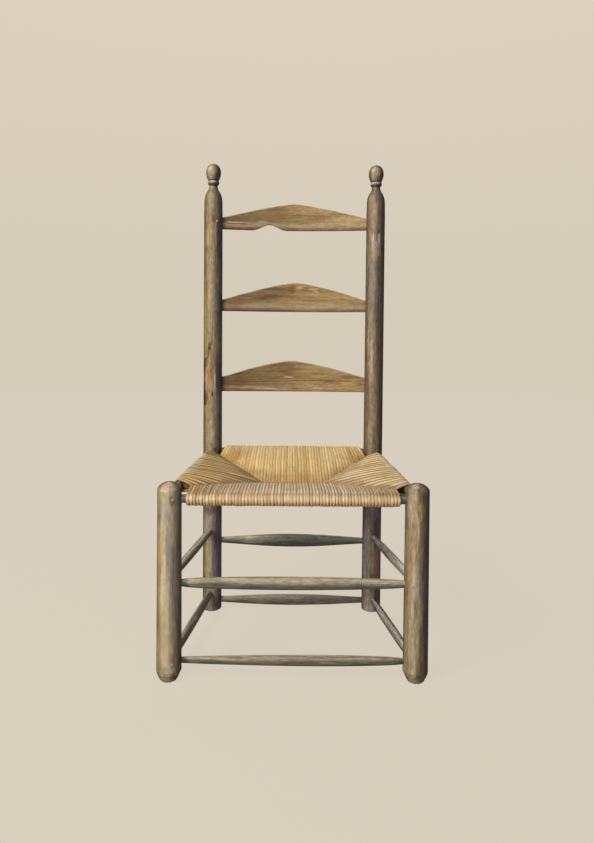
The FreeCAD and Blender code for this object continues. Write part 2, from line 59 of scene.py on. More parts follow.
# Heights of slats, pegs, rails and stretchers, and how far in the side rails start
SLAT_BASES = {"top_slat": 921.0, "middle_slat": 720.5, "bottom_slat": 524.5}
SLAT_PEG_HEIGHT = 935.0
FRONT_RAIL_HEIGHT = 343.5
REAR_RAIL_HEIGHT = 379.5
LEFT_RAIL_FRONT_HEIGHT = 352.5
RIGHT_RAIL_FRONT_HEIGHT = 350.5
SIDE_RAIL_REAR_HEIGHT = 375.0
LEFT_RAIL_INSET = 2.0
RIGHT_RAIL_INSET = 7.5
FRONT_UPPER_HEIGHT = 183.0
FRONT_LOWER_HEIGHT = 35.0
REAR_UPPER_HEIGHT = 164.0
REAR_LOWER_HEIGHT = 21.0
# At the front post and at the rear post
LEFT_UPPER_HEIGHTS = (189.0, 191.0)
LEFT_LOWER_HEIGHTS = (30.5, 42.0)
RIGHT_UPPER_HEIGHTS = (183.5, 176.5)
RIGHT_LOWER_HEIGHTS = (30.5, 27.0)

# The seat: where the rush starts on each rail, and its corners and middle seam
RAIL_R = 8.3
RUSH_THICKNESS = 4.7
RUSH_GAP = 0.3
ROLL_R = RAIL_R + RUSH_GAP + RUSH_THICKNESS
POST_R_AT_FRONT_RAIL = 22.78
POST_R_AT_SIDE_RAILS = 22.76
FRONT_RUSH_BARE = 11.3
REAR_RUSH_BARE = 12.0
LEFT_RUSH_FRONT_BARE = 26.0
RIGHT_RUSH_FRONT_BARE = 13.0
SIDE_RUSH_REAR_BARE = 11.0
FRONT_CORNER_INSET = 36.0
FRONT_CORNER_SETBACK = 22.0
LEFT_CORNER_RISE = 20.5
RIGHT_CORNER_RISE = 16.0
REAR_CORNER_INSET = 21.0
REAR_CORNER_SETBACK = 28.5
REAR_CORNER_DROP = 6.0
CORNER_THICKNESS = 10.5
BRIDGE_HALF_LENGTH = 65.0
BRIDGE_SETBACK = 140.0
BRIDGE_RISE = 0.5
BRIDGE_THICKNESS = 15.0
PANEL_CROWN = 4.0
CORNER_CROWN = 1.0

# The camera, as fitted to the posts' tops, feet and joints in the photograph. Its focal length
# and shifts are in the photograph's pixels.
CAMERA_X = -10.6
CAMERA_DISTANCE = 1072.9
CAMERA_HEIGHT = 625.45
CAMERA_TURN = math.radians(-0.234)
CAMERA_DIP = math.radians(1.346)
CAMERA_ROLL = math.radians(0.472)
PHOTO_HEIGHT_PX = 843
FOCAL_PX = 570.8
SHIFT_RIGHT_PX = 5.6
SHIFT_UP_PX = -58.0
SENSOR_WIDTH = 36.0

BACK_OVERHANG = REAR_REACH_HEIGHT * math.sin(RAKE) + REAR_POST_R * math.cos(RAKE)
FOOT_SPAN = SEAT_DEPTH - SEAT_LEVEL * math.tan(RAKE)
FRONT_Y = FRONT_POST_R - (FRONT_POST_R + FOOT_SPAN + BACK_OVERHANG) / 2
REAR_FOOT_Y = FRONT_Y + FOOT_SPAN


# Shapes

def rear_post_at(side, z):
    """Point on a rear post's axis: it leans back by the rake and outwards by the splay."""
    out = REAR_FOOT_SPACING / 2 + z / math.cos(RAKE) * math.tan(SPLAY)
    return np.array([side * out, REAR_FOOT_Y + z * math.tan(RAKE), z])


def front_post_at(side, z):
    return np.array([side * FRONT_SPACING / 2, FRONT_Y, z])


def rail_axes():
    """Start and end of each seat rail's axis. The side rails start a little inside the axes of
    the front posts, the right one more than the left."""
    return {
        "front": (front_post_at(-1, FRONT_RAIL_HEIGHT), front_post_at(1, FRONT_RAIL_HEIGHT)),
        "rear": (rear_post_at(-1, REAR_RAIL_HEIGHT), rear_post_at(1, REAR_RAIL_HEIGHT)),
        "left": (front_post_at(-1, LEFT_RAIL_FRONT_HEIGHT) + (LEFT_RAIL_INSET, 0, 0),
                 rear_post_at(-1, SIDE_RAIL_REAR_HEIGHT)),
        "right": (front_post_at(1, RIGHT_RAIL_FRONT_HEIGHT) - (RIGHT_RAIL_INSET, 0, 0),
                  rear_post_at(1, SIDE_RAIL_REAR_HEIGHT)),
    }


def mesh_object(name, points, quads, triangles, finish, uv=None, marks=None):
    """A mesh from arrays: points in millimetres, quads and triangles as rows of point numbers,
    one (u, v) for each corner of the quads and then of the triangles, and named numbers for
    each point."""
    mesh = bpy.data.meshes.new(name)
    mesh.from_pydata((points * MM).tolist(), [], quads.tolist() + triangles.tolist())
    if uv is not None:
        layer = mesh.uv_layers.new(name="strand_uv")
        layer.data.foreach_set("uv", np.asarray(uv, np.float32).ravel())
    for key, values in (marks or {}).items():
        layer = mesh.attributes.new(key, "FLOAT", "POINT")
        layer.data.foreach_set("value", np.asarray(values, np.float32).ravel())
    mesh.shade_smooth()
    mesh.update()
    made = bpy.data.objects.new(name, mesh)
    bpy.context.scene.collection.objects.link(made)
    mesh.materials.append(finish)
    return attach(made, "root")


def tube_faces(points, rings, around):
    """Faces of a closed tube. points holds rings of around points each, one after the other,
    and then a pole for the first and the last ring. Quads lie between rings, and triangles
    close the ends. All are turned round if they point inwards, that is if the tetrahedra
    between the origin and the faces add up to a negative volume."""
    i, j = np.meshgrid(np.arange(rings - 1) * around, np.arange(around), indexing="ij")
    k = (j + 1) % around
    quads = np.stack([i + j, i + k, i + around + k, i + around + j], -1).reshape(-1, 4)
    j, k = j[0], k[0]
    last, pole = (rings - 1) * around, np.full(around, rings * around)
    caps = np.concatenate([np.stack([pole, k, j], -1), np.stack([pole + 1, last + j, last + k], -1)])
    a, b, c = points[np.concatenate([caps, quads[:, :3], quads[:, [0, 2, 3]]])].transpose(1, 0, 2)
    if (a * np.cross(b, c)).sum() < 0:
        quads, caps = quads[:, ::-1], caps[:, ::-1]
    return quads, caps


def seat_panels():
    """For each of the four panels, its stations along the rail as rows of
    (distance, rail point, seam point, seam top, seam bottom, crown)."""
    seams = {}
    for side, rise in ((-1, LEFT_CORNER_RISE), (1, RIGHT_CORNER_RISE)):
        front = front_post_at(side, FRONT_RAIL_HEIGHT)
        rear = rear_post_at(side, REAR_RAIL_HEIGHT)
        for place, x, y, top, thickness in (
                ("front", front[0] - side * FRONT_CORNER_INSET, front[1] + FRONT_CORNER_SETBACK,
                 front[2] + rise, CORNER_THICKNESS),
                ("rear", rear[0] - side * REAR_CORNER_INSET, rear[1] - REAR_CORNER_SETBACK,
                 rear[2] - REAR_CORNER_DROP, CORNER_THICKNESS),
                ("bridge", side * BRIDGE_HALF_LENGTH, front[1] + BRIDGE_SETBACK,
                 front[2] + BRIDGE_RISE, BRIDGE_THICKNESS)):
            seams[place, side] = (x, y, top, top - thickness)
    bare = {"front": FRONT_RUSH_BARE + POST_R_AT_FRONT_RAIL, "rear": REAR_RUSH_BARE + REAR_POST_R,
            "left": LEFT_RUSH_FRONT_BARE + POST_R_AT_SIDE_RAILS,
            "right": RIGHT_RUSH_FRONT_BARE + POST_R_AT_SIDE_RAILS}
    plan = {}
    for name, (start, end) in rail_axes().items():
        length = np.linalg.norm(end - start)
        first = bare[name] / length
        if name in ("front", "rear"):
            half = BRIDGE_HALF_LENGTH / (end[0] - start[0])
            shares = [first, 0.5 - half, 0.5 + half, 1 - first]
            ends = [seams[name, -1], seams["bridge", -1], seams["bridge", 1], seams[name, 1]]
        else:
            side = -1 if name == "left" else 1
            shares = [first, BRIDGE_SETBACK / (end[1] - start[1]),
                      1 - (SIDE_RUSH_REAR_BARE + REAR_POST_R) / length]
            ends = [seams["front", side], seams["bridge", side], seams["rear", side]]
        crowns = [CORNER_CROWN] + [PANEL_CROWN] * (len(ends) - 2) + [CORNER_CROWN]
        rows = [[s * length, *(start + (end - start) * s), *e, c] for s, e, c in zip(shares, ends, crowns)]
        plan[name] = np.array(rows)
    return plan


RUN_STEPS = 13
TURN_STEPS = 15
# How far a strand's end goes on past the seam and into the seat, point by point
DUCK = np.array([[0.9, 1.6], [1.4, 4.2]])


def wrap_lines(stations, distances, sink, ends=True):
    """Lines that wrap a panel: from the lower seam out to the rail, round it and back over the
    top to the seam. Across the rail each is a straight run with a parabola of the panel's crown
    added, an arc about the rail's axis, and another such run. sink is how far the line lies
    under the outer face, and ends adds the points past the seams. Returns points
    (line, step, xyz)."""
    at = [np.interp(distances, stations[:, 0], stations[:, i]) for i in range(1, 9)]
    rail = np.stack(at[:3], 1)
    seam = np.stack(at[3:5], 1)
    top, bottom, crown = at[5] - sink, at[6] + sink, at[7]
    across = seam - rail[:, :2]
    reach = np.linalg.norm(across, axis=1)
    across /= reach[:, None]
    ring = ROLL_R - sink
    high, low = top - rail[:, 2], bottom - rail[:, 2]
    # The angles about the rail's axis at which the upper and the lower run touch the ring
    up = np.arctan2(high, reach) + np.arccos(ring / np.hypot(reach, high))
    down = np.arctan2(low, reach) - np.arccos(ring / np.hypot(reach, low))

    run = np.linspace(0, 1, RUN_STEPS)[None, :]
    turn = np.linspace(0, 1, TURN_STEPS)[None, 1:-1]
    rim_s, rim_z = ring * np.cos(down), ring * np.sin(down)
    lower_s = reach[:, None] + (rim_s - reach)[:, None] * run
    lower_z = low[:, None] + (rim_z - low)[:, None] * run - crown[:, None] * 4 * run * (1 - run)
    angle = down[:, None] + (up - 2 * np.pi - down)[:, None] * turn
    ring_s, ring_z = ring * np.cos(angle), ring * np.sin(angle)
    rim_s, rim_z = ring * np.cos(up), ring * np.sin(up)
    upper_s = rim_s[:, None] + (reach - rim_s)[:, None] * run
    upper_z = rim_z[:, None] + (high - rim_z)[:, None] * run + crown[:, None] * 4 * run * (1 - run)
    s = np.concatenate([lower_s, ring_s, upper_s], 1)
    z = np.concatenate([lower_z, ring_z, upper_z], 1)
    if ends:
        # At the seams the strand ducks under its neighbours
        s = np.concatenate([reach[:, None] + DUCK[::-1, 0], s, reach[:, None] + DUCK[:, 0]], 1)
        z = np.concatenate([low[:, None] + DUCK[::-1, 1], z, high[:, None] - DUCK[:, 1]], 1)
    xy = rail[:, None, :2] + across[:, None, :] * s[:, :, None]
    return np.concatenate([xy, (rail[:, 2][:, None] + z)[:, :, None]], 2)


def unit(v):
    return v / np.linalg.norm(v, axis=-1, keepdims=True)


STRAND_SIDES = 10
# Shares of a strand's pitch: half its width, the same where strands lie in pairs, how far each
# of a pair lies nearer the other, how far any may stray, and how much the pitch of paired ones
# grows or shrinks towards the rear and the front
HALF_WIDTH, PAIRED_HALF_WIDTH, PAIR_PULL, STRAY, REAR_SPREAD = 0.63, 0.59, 0.10, 0.06, 0.25


def rush_strands(name, stations, count, finish, paired):
    """A panel's strands: each wrap line carries an oval whose width follows the distance to its
    neighbours and whose thickness is the rush's, with slow waves in both. Where the panel is
    paired, strands lie closer two by two, a clean straw one beside a browner one, and the pairs
    lie wider apart towards the back."""
    first, last = stations[0, 0], stations[-1, 0]
    pitch = (last - first) / count
    share = (np.arange(count) + 0.5) / count
    odd = np.arange(count) % 2
    if paired:
        share *= 1 + REAR_SPREAD * (share - 1)
    places = first + (last - first) * share + random.uniform(-STRAY, STRAY, count) * pitch
    if paired:
        places += pitch * PAIR_PULL * (1 - 2 * odd)
    half = RUSH_THICKNESS / 2
    lines = wrap_lines(stations, places, half)
    steps = lines.shape[1]
    middle = steps // 2
    tangent = unit(np.gradient(lines, axis=1))
    spread = np.gradient(lines, axis=0)
    spread -= tangent * (spread * tangent).sum(2, keepdims=True)
    side = unit(spread)
    out = unit(np.cross(side, tangent))
    # out has to point away from the two runs where the line rounds the rail
    halfway = RUN_STEPS // 2
    rail_side = lines[:, middle] - (lines[:, halfway] + lines[:, -1 - halfway]) / 2
    if (out[:, middle] * rail_side).sum() < 0:
        out = -out

    # Waves along the strand sway it and swell it, and its ends are drawn in
    run = np.cumsum(np.linalg.norm(np.diff(lines, axis=1, prepend=lines[:, :1]), axis=2), 1)
    phase = random.uniform(0, 2 * np.pi, (count, 3))
    wave = np.sin(run / 23 + phase[:, [0]]) + 0.6 * np.sin(run / 9.5 + phase[:, [1]])
    swell = 1 + 0.045 * np.sin(run / 14 + phase[:, [2]]) + random.uniform(-0.05, 0.05, (count, 1))
    lines = lines + side * (0.22 * wave)[:, :, None] + out * random.uniform(-0.45, 0.35, (count, 1, 1))
    swell[:, [0, -1]] *= 0.55
    wide = np.linalg.norm(spread, axis=2) * (PAIRED_HALF_WIDTH if paired else HALF_WIDTH) * swell
    thick = (half + 0.15) * swell
    angle = np.linspace(0, 2 * np.pi, STRAND_SIDES, endpoint=False)[:, None]
    rings = (lines[:, :, None] + side[:, :, None] * wide[:, :, None, None] * np.cos(angle)
             + out[:, :, None] * thick[:, :, None, None] * np.sin(angle))
    points = np.concatenate([rings.reshape(count, -1, 3), lines[:, [0, -1]]], 1)
    per = points.shape[1]
    quads, caps = tube_faces(points[0], steps, STRAND_SIDES)

    # u goes round the oval, up to 1 at the end of its last side and with 0.5 at the poles, and v
    # counts centimetres along the strand
    u = np.append(np.tile(np.arange(STRAND_SIDES) / STRAND_SIDES, steps), [0.5, 0.5])
    ring = np.append(np.repeat(np.arange(steps), STRAND_SIDES), [0, steps - 1])
    v = (run / 10 + phase[:, [0]])[:, ring]
    quad_u = u[quads]
    quad_u += quad_u < quad_u.max(1, keepdims=True) - 0.5
    uv = [np.stack(np.broadcast_arrays(corner_u, v[:, corners]), -1).reshape(-1, 2)
          for corner_u, corners in ((quad_u, quads), (u[caps], caps))]
    # shade picks a strand's straw tone, and dusk how strongly the material paints shade in its grooves;
    # paired strands alternate both
    shade = random.uniform(0, 1, count)
    dusk = random.uniform(0.25, 0.6, count)
    if paired:
        shade = 0.4 * shade + 0.6 * odd
        dusk = 0.15 + 0.85 * odd
    # Distance from the rail towards the seam, as a share of the whole
    reach = np.linalg.norm(lines[:, :, :2] - lines[:, [middle], :2], axis=2)
    seam = (reach / reach.max(axis=1, keepdims=True))[:, ring]
    marks = {"strand": np.repeat(shade, per), "seam": seam, "dusk": np.repeat(dusk, per)}
    base = per * np.arange(count)[:, None, None]
    return mesh_object(name, points.reshape(-1, 3), (quads + base).reshape(-1, 4),
                       (caps + base).reshape(-1, 3), finish, np.concatenate(uv), marks)


STUFFING_SINK = 0.86 * RUSH_THICKNESS
STUFFING_END_GAP = 6.0
STUFFING_LINES = 14


def stuffing_body(name, stations, finish):
    """The loose rush inside a panel: the wrap lines' own shape, drawn in by most of the cord's
    thickness, closed across the seam side and at both ends."""
    first, last = stations[0, 0] + STUFFING_END_GAP, stations[-1, 0] - STUFFING_END_GAP
    lines = wrap_lines(stations, np.linspace(first, last, STUFFING_LINES), STUFFING_SINK, ends=False)
    points = np.concatenate([lines.reshape(-1, 3), lines[[0, -1]].mean(1)])
    return mesh_object(name, points, *tube_faces(points, *lines.shape[:2]), finish)


# Materials

def colour(code):
    """An sRGB hex colour as linear red, green, blue and alpha."""
    parts = [int(code[i:i + 2], 16) / 255 for i in (1, 3, 5)]
    return (*[p / 12.92 if p <= 0.04045 else ((p + 0.055) / 1.055) ** 2.4 for p in parts], 1.0)


def add(tree, kind, inputs=None, stops=None, **settings):
    """Adds a shader node, sets its properties, and fills its inputs with values or, from
    another node or socket, links. A node stands for its first output in use. stops are the
    (place, hex colour) pairs of a colour ramp, from place 0 to place 1."""
    made = tree.nodes.new("ShaderNode" + kind)
    for key, value in settings.items():
        setattr(made, key, value)
    for key, value in (inputs or {}).items():
        if isinstance(value, bpy.types.Node):
            value = next(o for o in value.outputs if o.enabled)
        if isinstance(value, bpy.types.NodeSocket):
            tree.links.new(value, made.inputs[key])
        else:
            made.inputs[key].default_value = value
    if stops:
        ramp = made.color_ramp.elements
        ramp[0].color, ramp[1].color = colour(stops[0][1]), colour(stops[-1][1])
        for place, code in stops[1:-1]:
            ramp.new(place).color = colour(code)
    return made


def new_material(name):
    made = bpy.data.materials.new(name)
    made.use_nodes = True
    made.node_tree.nodes.clear()
    return made, made.node_tree


def own_frame(start, end, across):
    """Place and turn of a long piece's own frame, in metres: its Z runs from start to end, and
    its X lies as near as it can to across."""
    z = unit(end - start)
    y = unit(np.cross(z, across))
    x = np.cross(y, z)
    turn = Matrix(np.stack([x, y, z], 1).tolist()).to_euler()
    return {"Location": (start * MM).tolist(), "Rotation": tuple(turn)}


def streaks(tree, place, width, length, detail, roughness, shift):
    """Noise drawn out along the grain, in streaks of a width and length in millimetres.
    place has its Z along the grain."""
    scale = (1 / (width * MM), 1 / (width * MM), 1 / (length * MM))
    spot = add(tree, "Mapping", {"Vector": place, "Scale": scale,
                                 "Location": (shift, shift * 1.7, shift * 0.6)})
    return add(tree, "TexNoise", {"Vector": spot, "Scale": 1.0, "Detail": detail, "Roughness": roughness})


def bands_round(tree, place, stops, shift):
    """Colours laid round a long piece. The angle about its axis is looked up in a ramp: 0 and 1
    lie at +Y, 0.25 at -X, 0.5 at -Y and 0.75 at +X. Drawn-out noise lets them wander by up to
    0.035 of a turn."""
    parts = add(tree, "SeparateXYZ", {0: place})
    ahead = add(tree, "Math", {0: parts.outputs["Y"], 1: -1.0}, operation="MULTIPLY")
    angle = add(tree, "Math", {0: parts.outputs["X"], 1: ahead}, operation="ARCTAN2")
    noise = streaks(tree, place, 16, 90, 3.0, 0.6, shift + 2.3)
    stray = add(tree, "MapRange", {"Value": noise, "From Min": 0.35, "From Max": 0.65,
                                   "To Min": 0.465, "To Max": 0.535})
    turn = add(tree, "Math", {0: angle, 1: 0.5 / math.pi, 2: stray}, operation="MULTIPLY_ADD")
    return add(tree, "ValToRGB", {0: turn}, stops=stops)


def lit_and_shaded_bands(turned, back, tones):
    """Bands of painted light and shade for a round piece, by how it shows from the front: nine
    tones at fixed offsets across it, from left to right or from top to bottom, and one for its
    back. Besides the paint's hues, the tones paint dark outlines, a lit side and a shaded side.
    The middle of its front is turned away from the piece's own -Y, and an offset x of the
    radius lies at the angle asin(x) from that middle."""
    offsets = (-1, -0.88, -0.7, -0.4, -0.1, 0.2, 0.45, 0.75, 1)
    places = [0.5 + (turned + math.asin(x)) / (2 * math.pi) for x in offsets]
    return ((0, back), *zip(places, tones), (1, back))


def wash(tree, place, below, tint, width, length, start, stop, strength, shift, blend="MIX"):
    """Lays a tint in streaks, where drawn-out noise passes from start to stop. With the blend
    COLOR it changes the hue and leaves what is dark dark."""
    noise = streaks(tree, place, width, length, 4.0, 0.6, shift)
    share = add(tree, "MapRange", {"Value": noise, "From Min": start, "From Max": stop,
                                   "To Max": strength}, interpolation_type="SMOOTHSTEP")
    return add(tree, "Mix", {0: share, 6: below, 7: colour(tint)}, data_type="RGBA", blend_type=blend)


def stain(tree, place, below, tint, centre, half, ragged, strength, grain=5.0, soft=0.34):
    """Lays a tint over a spot with ragged edges: the distance from the centre, in half sizes,
    with noise of a grain's width added, fades it out over the share soft."""
    local = add(tree, "Mapping", {"Vector": place, "Location": [c * MM for c in centre],
                                  "Scale": [h * MM for h in half]}, vector_type="TEXTURE")
    far = add(tree, "VectorMath", {0: local}, operation="LENGTH").outputs["Value"]
    rough = streaks(tree, place, grain, grain * 5, 3.0, 0.6, centre[2] * 0.01)
    edge = add(tree, "Math", {0: rough, 1: ragged * 2, 2: far}, operation="MULTIPLY_ADD")
    share = add(tree, "MapRange", {"Value": edge, "From Min": 1 + ragged, "From Max": 1 - soft + ragged,
                                   "To Max": strength}, interpolation_type="SMOOTHSTEP")
    return add(tree, "Mix", {0: share, 6: below, 7: colour(tint)}, data_type="RGBA")


def layers(tree, place, tone, washes, stains, shift):
    """Lays washes and then stains over a tone, each wash with noise of its own."""
    for i, values in enumerate(washes):
        tone = wash(tree, place, tone, *values[:6], shift + 3.1 * i, *values[6:])
    for values in stains:
        tone = stain(tree, place, tone, *values)
    return tone


def wood_material(name, axis):
    """A new material, its tree, and places in the piece's own frame."""
    made, tree = new_material(name)
    spot = add(tree, "TexCoord").outputs["Object"]
    return made, tree, add(tree, "Mapping", {"Vector": spot, **axis}, vector_type="TEXTURE")


def surface(tree, tone, roughness, specular, height, strength, depth):
    """Ends a material: a tone, a sheen, and a low relief whose depth is in millimetres."""
    relief = add(tree, "Bump", {"Height": height, "Strength": strength, "Distance": depth * MM})
    shader = add(tree, "BsdfPrincipled", {"Base Color": tone, "Roughness": roughness,
                                          "Normal": relief, "Specular IOR Level": specular})
    add(tree, "OutputMaterial", {"Surface": shader})


def wood_surface(tree, place, tone, dark, shift, strength):
    """Ends a wood: fine fibres 3 mm wide, drawn coarser than real ones so that they show, short
    dabs of dirt and thin paint, a few dark drying checks, a low relief, and a sheen that dulls
    where fibres stand up. strength is how much the fibres and dabs lighten and darken."""
    fibre = streaks(tree, place, 3.0, 80, 4.0, 0.6, shift + 1.3)
    dabs = streaks(tree, place, 4.5, 13, 3.0, 0.65, shift + 8.8)
    for noise, darker, lighter in ((fibre, 0.26, 0.24), (dabs, 0.30, 0.28)):
        change = add(tree, "MapRange", {"Value": noise, "From Min": 0.3, "From Max": 0.7,
                                        "To Min": 1 - darker * strength, "To Max": 1 + lighter * strength})
        tone = add(tree, "VectorMath", {0: tone, "Scale": change}, operation="SCALE")
    split = streaks(tree, place, 12, 300, 2.0, 0.4, shift + 5.2)
    away = add(tree, "Math", {0: split, 1: 0.5}, operation="SUBTRACT")
    away = add(tree, "Math", {0: away}, operation="ABSOLUTE")
    check = add(tree, "MapRange", {"Value": away, "From Min": 0.008, "From Max": 0.0, "To Max": 0.4})
    tone = add(tree, "Mix", {0: check, 6: tone, 7: colour(dark)}, data_type="RGBA")
    height = add(tree, "Math", {0: fibre, 1: check}, operation="SUBTRACT")
    gloss = add(tree, "MapRange", {"Value": fibre, "From Min": 0.3, "From Max": 0.7,
                                   "To Min": 0.52, "To Max": 0.7})
    surface(tree, tone, gloss, 0.35, height, 0.45, 1.2)


def worn_paint_and_painted_light(name, axis, bands, washes, stains=(), shift=0.0, strength=1.0):
    """Thin old milk paint, worn through to tan wood in places. Its bands round the piece also paint
    light and shade: tan where light falls, dark on the shaded side, with dark outlines. It gives
    soft bands that run with the grain, with hues that come and go along the piece."""
    made, tree, place = wood_material(name, axis)
    tone = layers(tree, place, bands_round(tree, place, bands, shift), washes, stains, shift)
    wood_surface(tree, place, tone, "#3a2e22", shift, strength)
    return made


def rubbed_stain_and_painted_shade(name, axis, stains, shift):
    """Brown oil stain on riven oak. What faces up is worn and dusted grey and also lighter as a
    painted highlight, what faces down is dark with painted shade, and the face keeps a warm brown
    with long soft grain, darker at its left end with painted shade where it is less lit."""
    made, tree, place = wood_material(name, axis)
    noise = streaks(tree, place, 16, 190, 4.0, 0.6, shift)
    tone = add(tree, "ValToRGB", {0: noise}, stops=SLAT_FACE)
    along = add(tree, "SeparateXYZ", {0: place}).outputs["Z"]
    along = add(tree, "MapRange", {"Value": along, "From Min": -SLAT_HALF_LENGTH * MM,
                                   "From Max": SLAT_HALF_LENGTH * MM})
    shade = add(tree, "ValToRGB", {0: along}, stops=SLAT_SHADE_AND_WEAR_ACROSS)
    tone = add(tree, "Mix", {0: 1.0, 6: tone, 7: shade}, data_type="RGBA", blend_type="MULTIPLY")
    tone = layers(tree, place, tone, SLAT_WASHES, stains, shift + 3.1)
    facing = add(tree, "SeparateXYZ", {0: add(tree, "NewGeometry").outputs["Normal"]}).outputs["Z"]
    dust_and_highlight = streaks(tree, place, 30, 60, 2.0, 0.5, shift + 4.4)
    dust_and_highlight = add(tree, "MapRange", {"Value": dust_and_highlight, "From Min": 0.40, "From Max": 0.58,
                                    "To Min": 0.95, "To Max": 0.5})
    # Faces turned up take grey as dust and as a painted highlight; faces turned down take painted shade
    for tint, start, stop, strength in (("#a8a79c", 0.1, 0.4, dust_and_highlight), ("#3f3226", -0.3, -0.7, 0.85)):
        share = add(tree, "MapRange", {"Value": facing, "From Min": start, "From Max": stop,
                                       "To Max": strength})
        tone = add(tree, "Mix", {0: share, 6: tone, 7: colour(tint)}, data_type="RGBA")
    wood_surface(tree, place, tone, "#4a3421", shift, 0.7)
    return made


# Patches of olive are about 40 mm wide, and they fray the tints at the mitres and on the rail
LEAF_PATCH = 38.46


def rush(name, tones, seam_tint, rim_tint, dark_side=None, top="#ffffff", stains=(), shift=0.0):
    """Twisted cattail leaf. Each strand has its own straw tone, fine leaf fibres that turn with the
    twist, and brown painted shade on its flanks where it meets its neighbours, darker still below,
    where faces turned down also take an orange painted shade. seam_tint browns it towards the
    mitres, and rim_tint tints the cleaner strands over the rail: on the panels it is a pale painted
    highlight along the roll. A dark side, given as (direction, start, stop) of the normal's share
    of it, darkens the faces that look that way. top is painted shade on the shoulder of the roll,
    between its crest and its front."""
    made, tree = new_material(name)
    straw, tan, olive, flank_shade = [colour(t) for t in tones]
    strand, seam, dusk = [
        add(tree, "Attribute", attribute_name=key, attribute_type="GEOMETRY").outputs["Fac"]
        for key in ("strand", "seam", "dusk")]
    parts = add(tree, "SeparateXYZ", {0: add(tree, "UVMap", uv_map="strand_uv")})
    place = add(tree, "TexCoord").outputs["Object"]
    tone = add(tree, "Mix", {0: strand, 6: straw, 7: tan}, data_type="RGBA")
    patch = streaks(tree, place, LEAF_PATCH, LEAF_PATCH, 3.0, 0.6, 0.0)
    mottle = add(tree, "MapRange", {"Value": patch, "From Min": 0.48, "From Max": 0.68, "To Max": 0.6})
    tone = add(tree, "Mix", {0: mottle, 6: tone, 7: olive}, data_type="RGBA")
    loose = add(tree, "Math", {0: patch, 1: 0.5, 2: seam}, operation="MULTIPLY_ADD")
    clean = add(tree, "Math", {0: strand, 1: -0.65, 2: 0.9}, operation="MULTIPLY_ADD")
    # seam_tint browns the strands towards the mitres; rim_tint on the cleaner strands over the rail is a
    # pale painted highlight on the panels
    for tint, start, stop, strength in ((seam_tint, 0.85, 1.3, 0.7), (rim_tint, 0.5, 0.25, clean)):
        share = add(tree, "MapRange", {"Value": loose, "From Min": start, "From Max": stop,
                                       "To Max": strength}, interpolation_type="SMOOTHSTEP")
        tone = add(tree, "Mix", {0: share, 6: tone, 7: colour(tint)}, data_type="RGBA")
    tone = layers(tree, place, tone, (), stains, 0.0)
    # u counts turns round the strand and v centimetres along it. The leaf twists by 0.28 of a
    # turn in a centimetre. Its fibres lie 16 to a turn, about a millimetre wide, and are 29 mm
    # long, drawn coarser than real ones so that they show. A strand's tone moves them on.
    turned = add(tree, "Math", {0: parts.outputs["Y"], 1: 0.28, 2: parts.outputs["X"]},
                 operation="MULTIPLY_ADD")
    spot = add(tree, "CombineXYZ", {0: turned, 1: parts.outputs["Y"], 2: strand})
    spot = add(tree, "Mapping", {"Vector": spot, "Scale": (16.0, 0.35, 9.0), "Location": (shift, 0, 0)})
    fibre = add(tree, "TexNoise", {"Vector": spot, "Scale": 1.0, "Detail": 3.0, "Roughness": 0.6})
    lines = add(tree, "MapRange", {"Value": fibre, "From Min": 0.35, "From Max": 0.65,
                                   "To Min": 0.86, "To Max": 1.1})
    tone = add(tree, "VectorMath", {0: tone, "Scale": lines}, operation="SCALE")
    # A strand's flanks lie at u of 0 and a half, its outer face at a quarter
    around = add(tree, "Math", {0: parts.outputs["X"], 1: 2 * math.pi}, operation="MULTIPLY")
    around = add(tree, "Math", {0: around}, operation="COSINE")
    around = add(tree, "Math", {0: around}, operation="ABSOLUTE")
    facing = add(tree, "NewGeometry").outputs["Normal"]
    rise = add(tree, "SeparateXYZ", {0: facing}).outputs["Z"]
    rise = add(tree, "MapRange", {"Value": rise, "From Min": -1.0, "From Max": 1.0})
    # Painted shade on the roll's shoulder, between its crest and its front
    shoulder_shade = add(tree, "ValToRGB", {0: rise}, stops=(
        (0, "#ffffff"), (0.6, "#ffffff"), (0.88, top), (0.95, top), (1, "#ffffff")))
    tone = add(tree, "Mix", {0: 1.0, 6: tone, 7: shoulder_shade}, data_type="RGBA", blend_type="MULTIPLY")
    # Faces turned down take an orange painted shade, and painted shade in the grooves between strands grows
    # darker and wider below
    under = add(tree, "MapRange", {"Value": rise, "From Min": 0.62, "From Max": 0.30})
    warm = add(tree, "Math", {0: under, 1: 0.6}, operation="MULTIPLY")
    tone = add(tree, "Mix", {0: warm, 6: tone, 7: colour("#d4a25c")}, data_type="RGBA")
    dusk = add(tree, "Math", {0: under, 1: 0.6, 2: dusk}, operation="MULTIPLY_ADD", use_clamp=True)
    start = add(tree, "Math", {0: under, 1: -0.25, 2: 0.60}, operation="MULTIPLY_ADD")
    groove_shade = add(tree, "MapRange", {"Value": around, "From Min": start, "From Max": 0.95, "To Max": dusk},
                 interpolation_type="SMOOTHSTEP")
    deep_shade = add(tree, "Mix", {0: under, 6: flank_shade, 7: colour("#5a3312")}, data_type="RGBA")
    tone = add(tree, "Mix", {0: groove_shade, 6: tone, 7: deep_shade}, data_type="RGBA")
    # Darkens the faces that look one way
    if dark_side:
        direction, start, stop = dark_side
        turned = add(tree, "VectorMath", {0: facing, 1: direction}, operation="DOT_PRODUCT").outputs["Value"]
        side_darkening = add(tree, "MapRange", {"Value": turned, "From Min": start, "From Max": stop,
                                        "To Max": 0.75})
        tone = add(tree, "Mix", {0: side_darkening, 6: tone, 7: colour("#54422c")}, data_type="RGBA")
    surface(tree, tone, 0.55, 0.4, fibre, 0.5, 0.6)
    return made


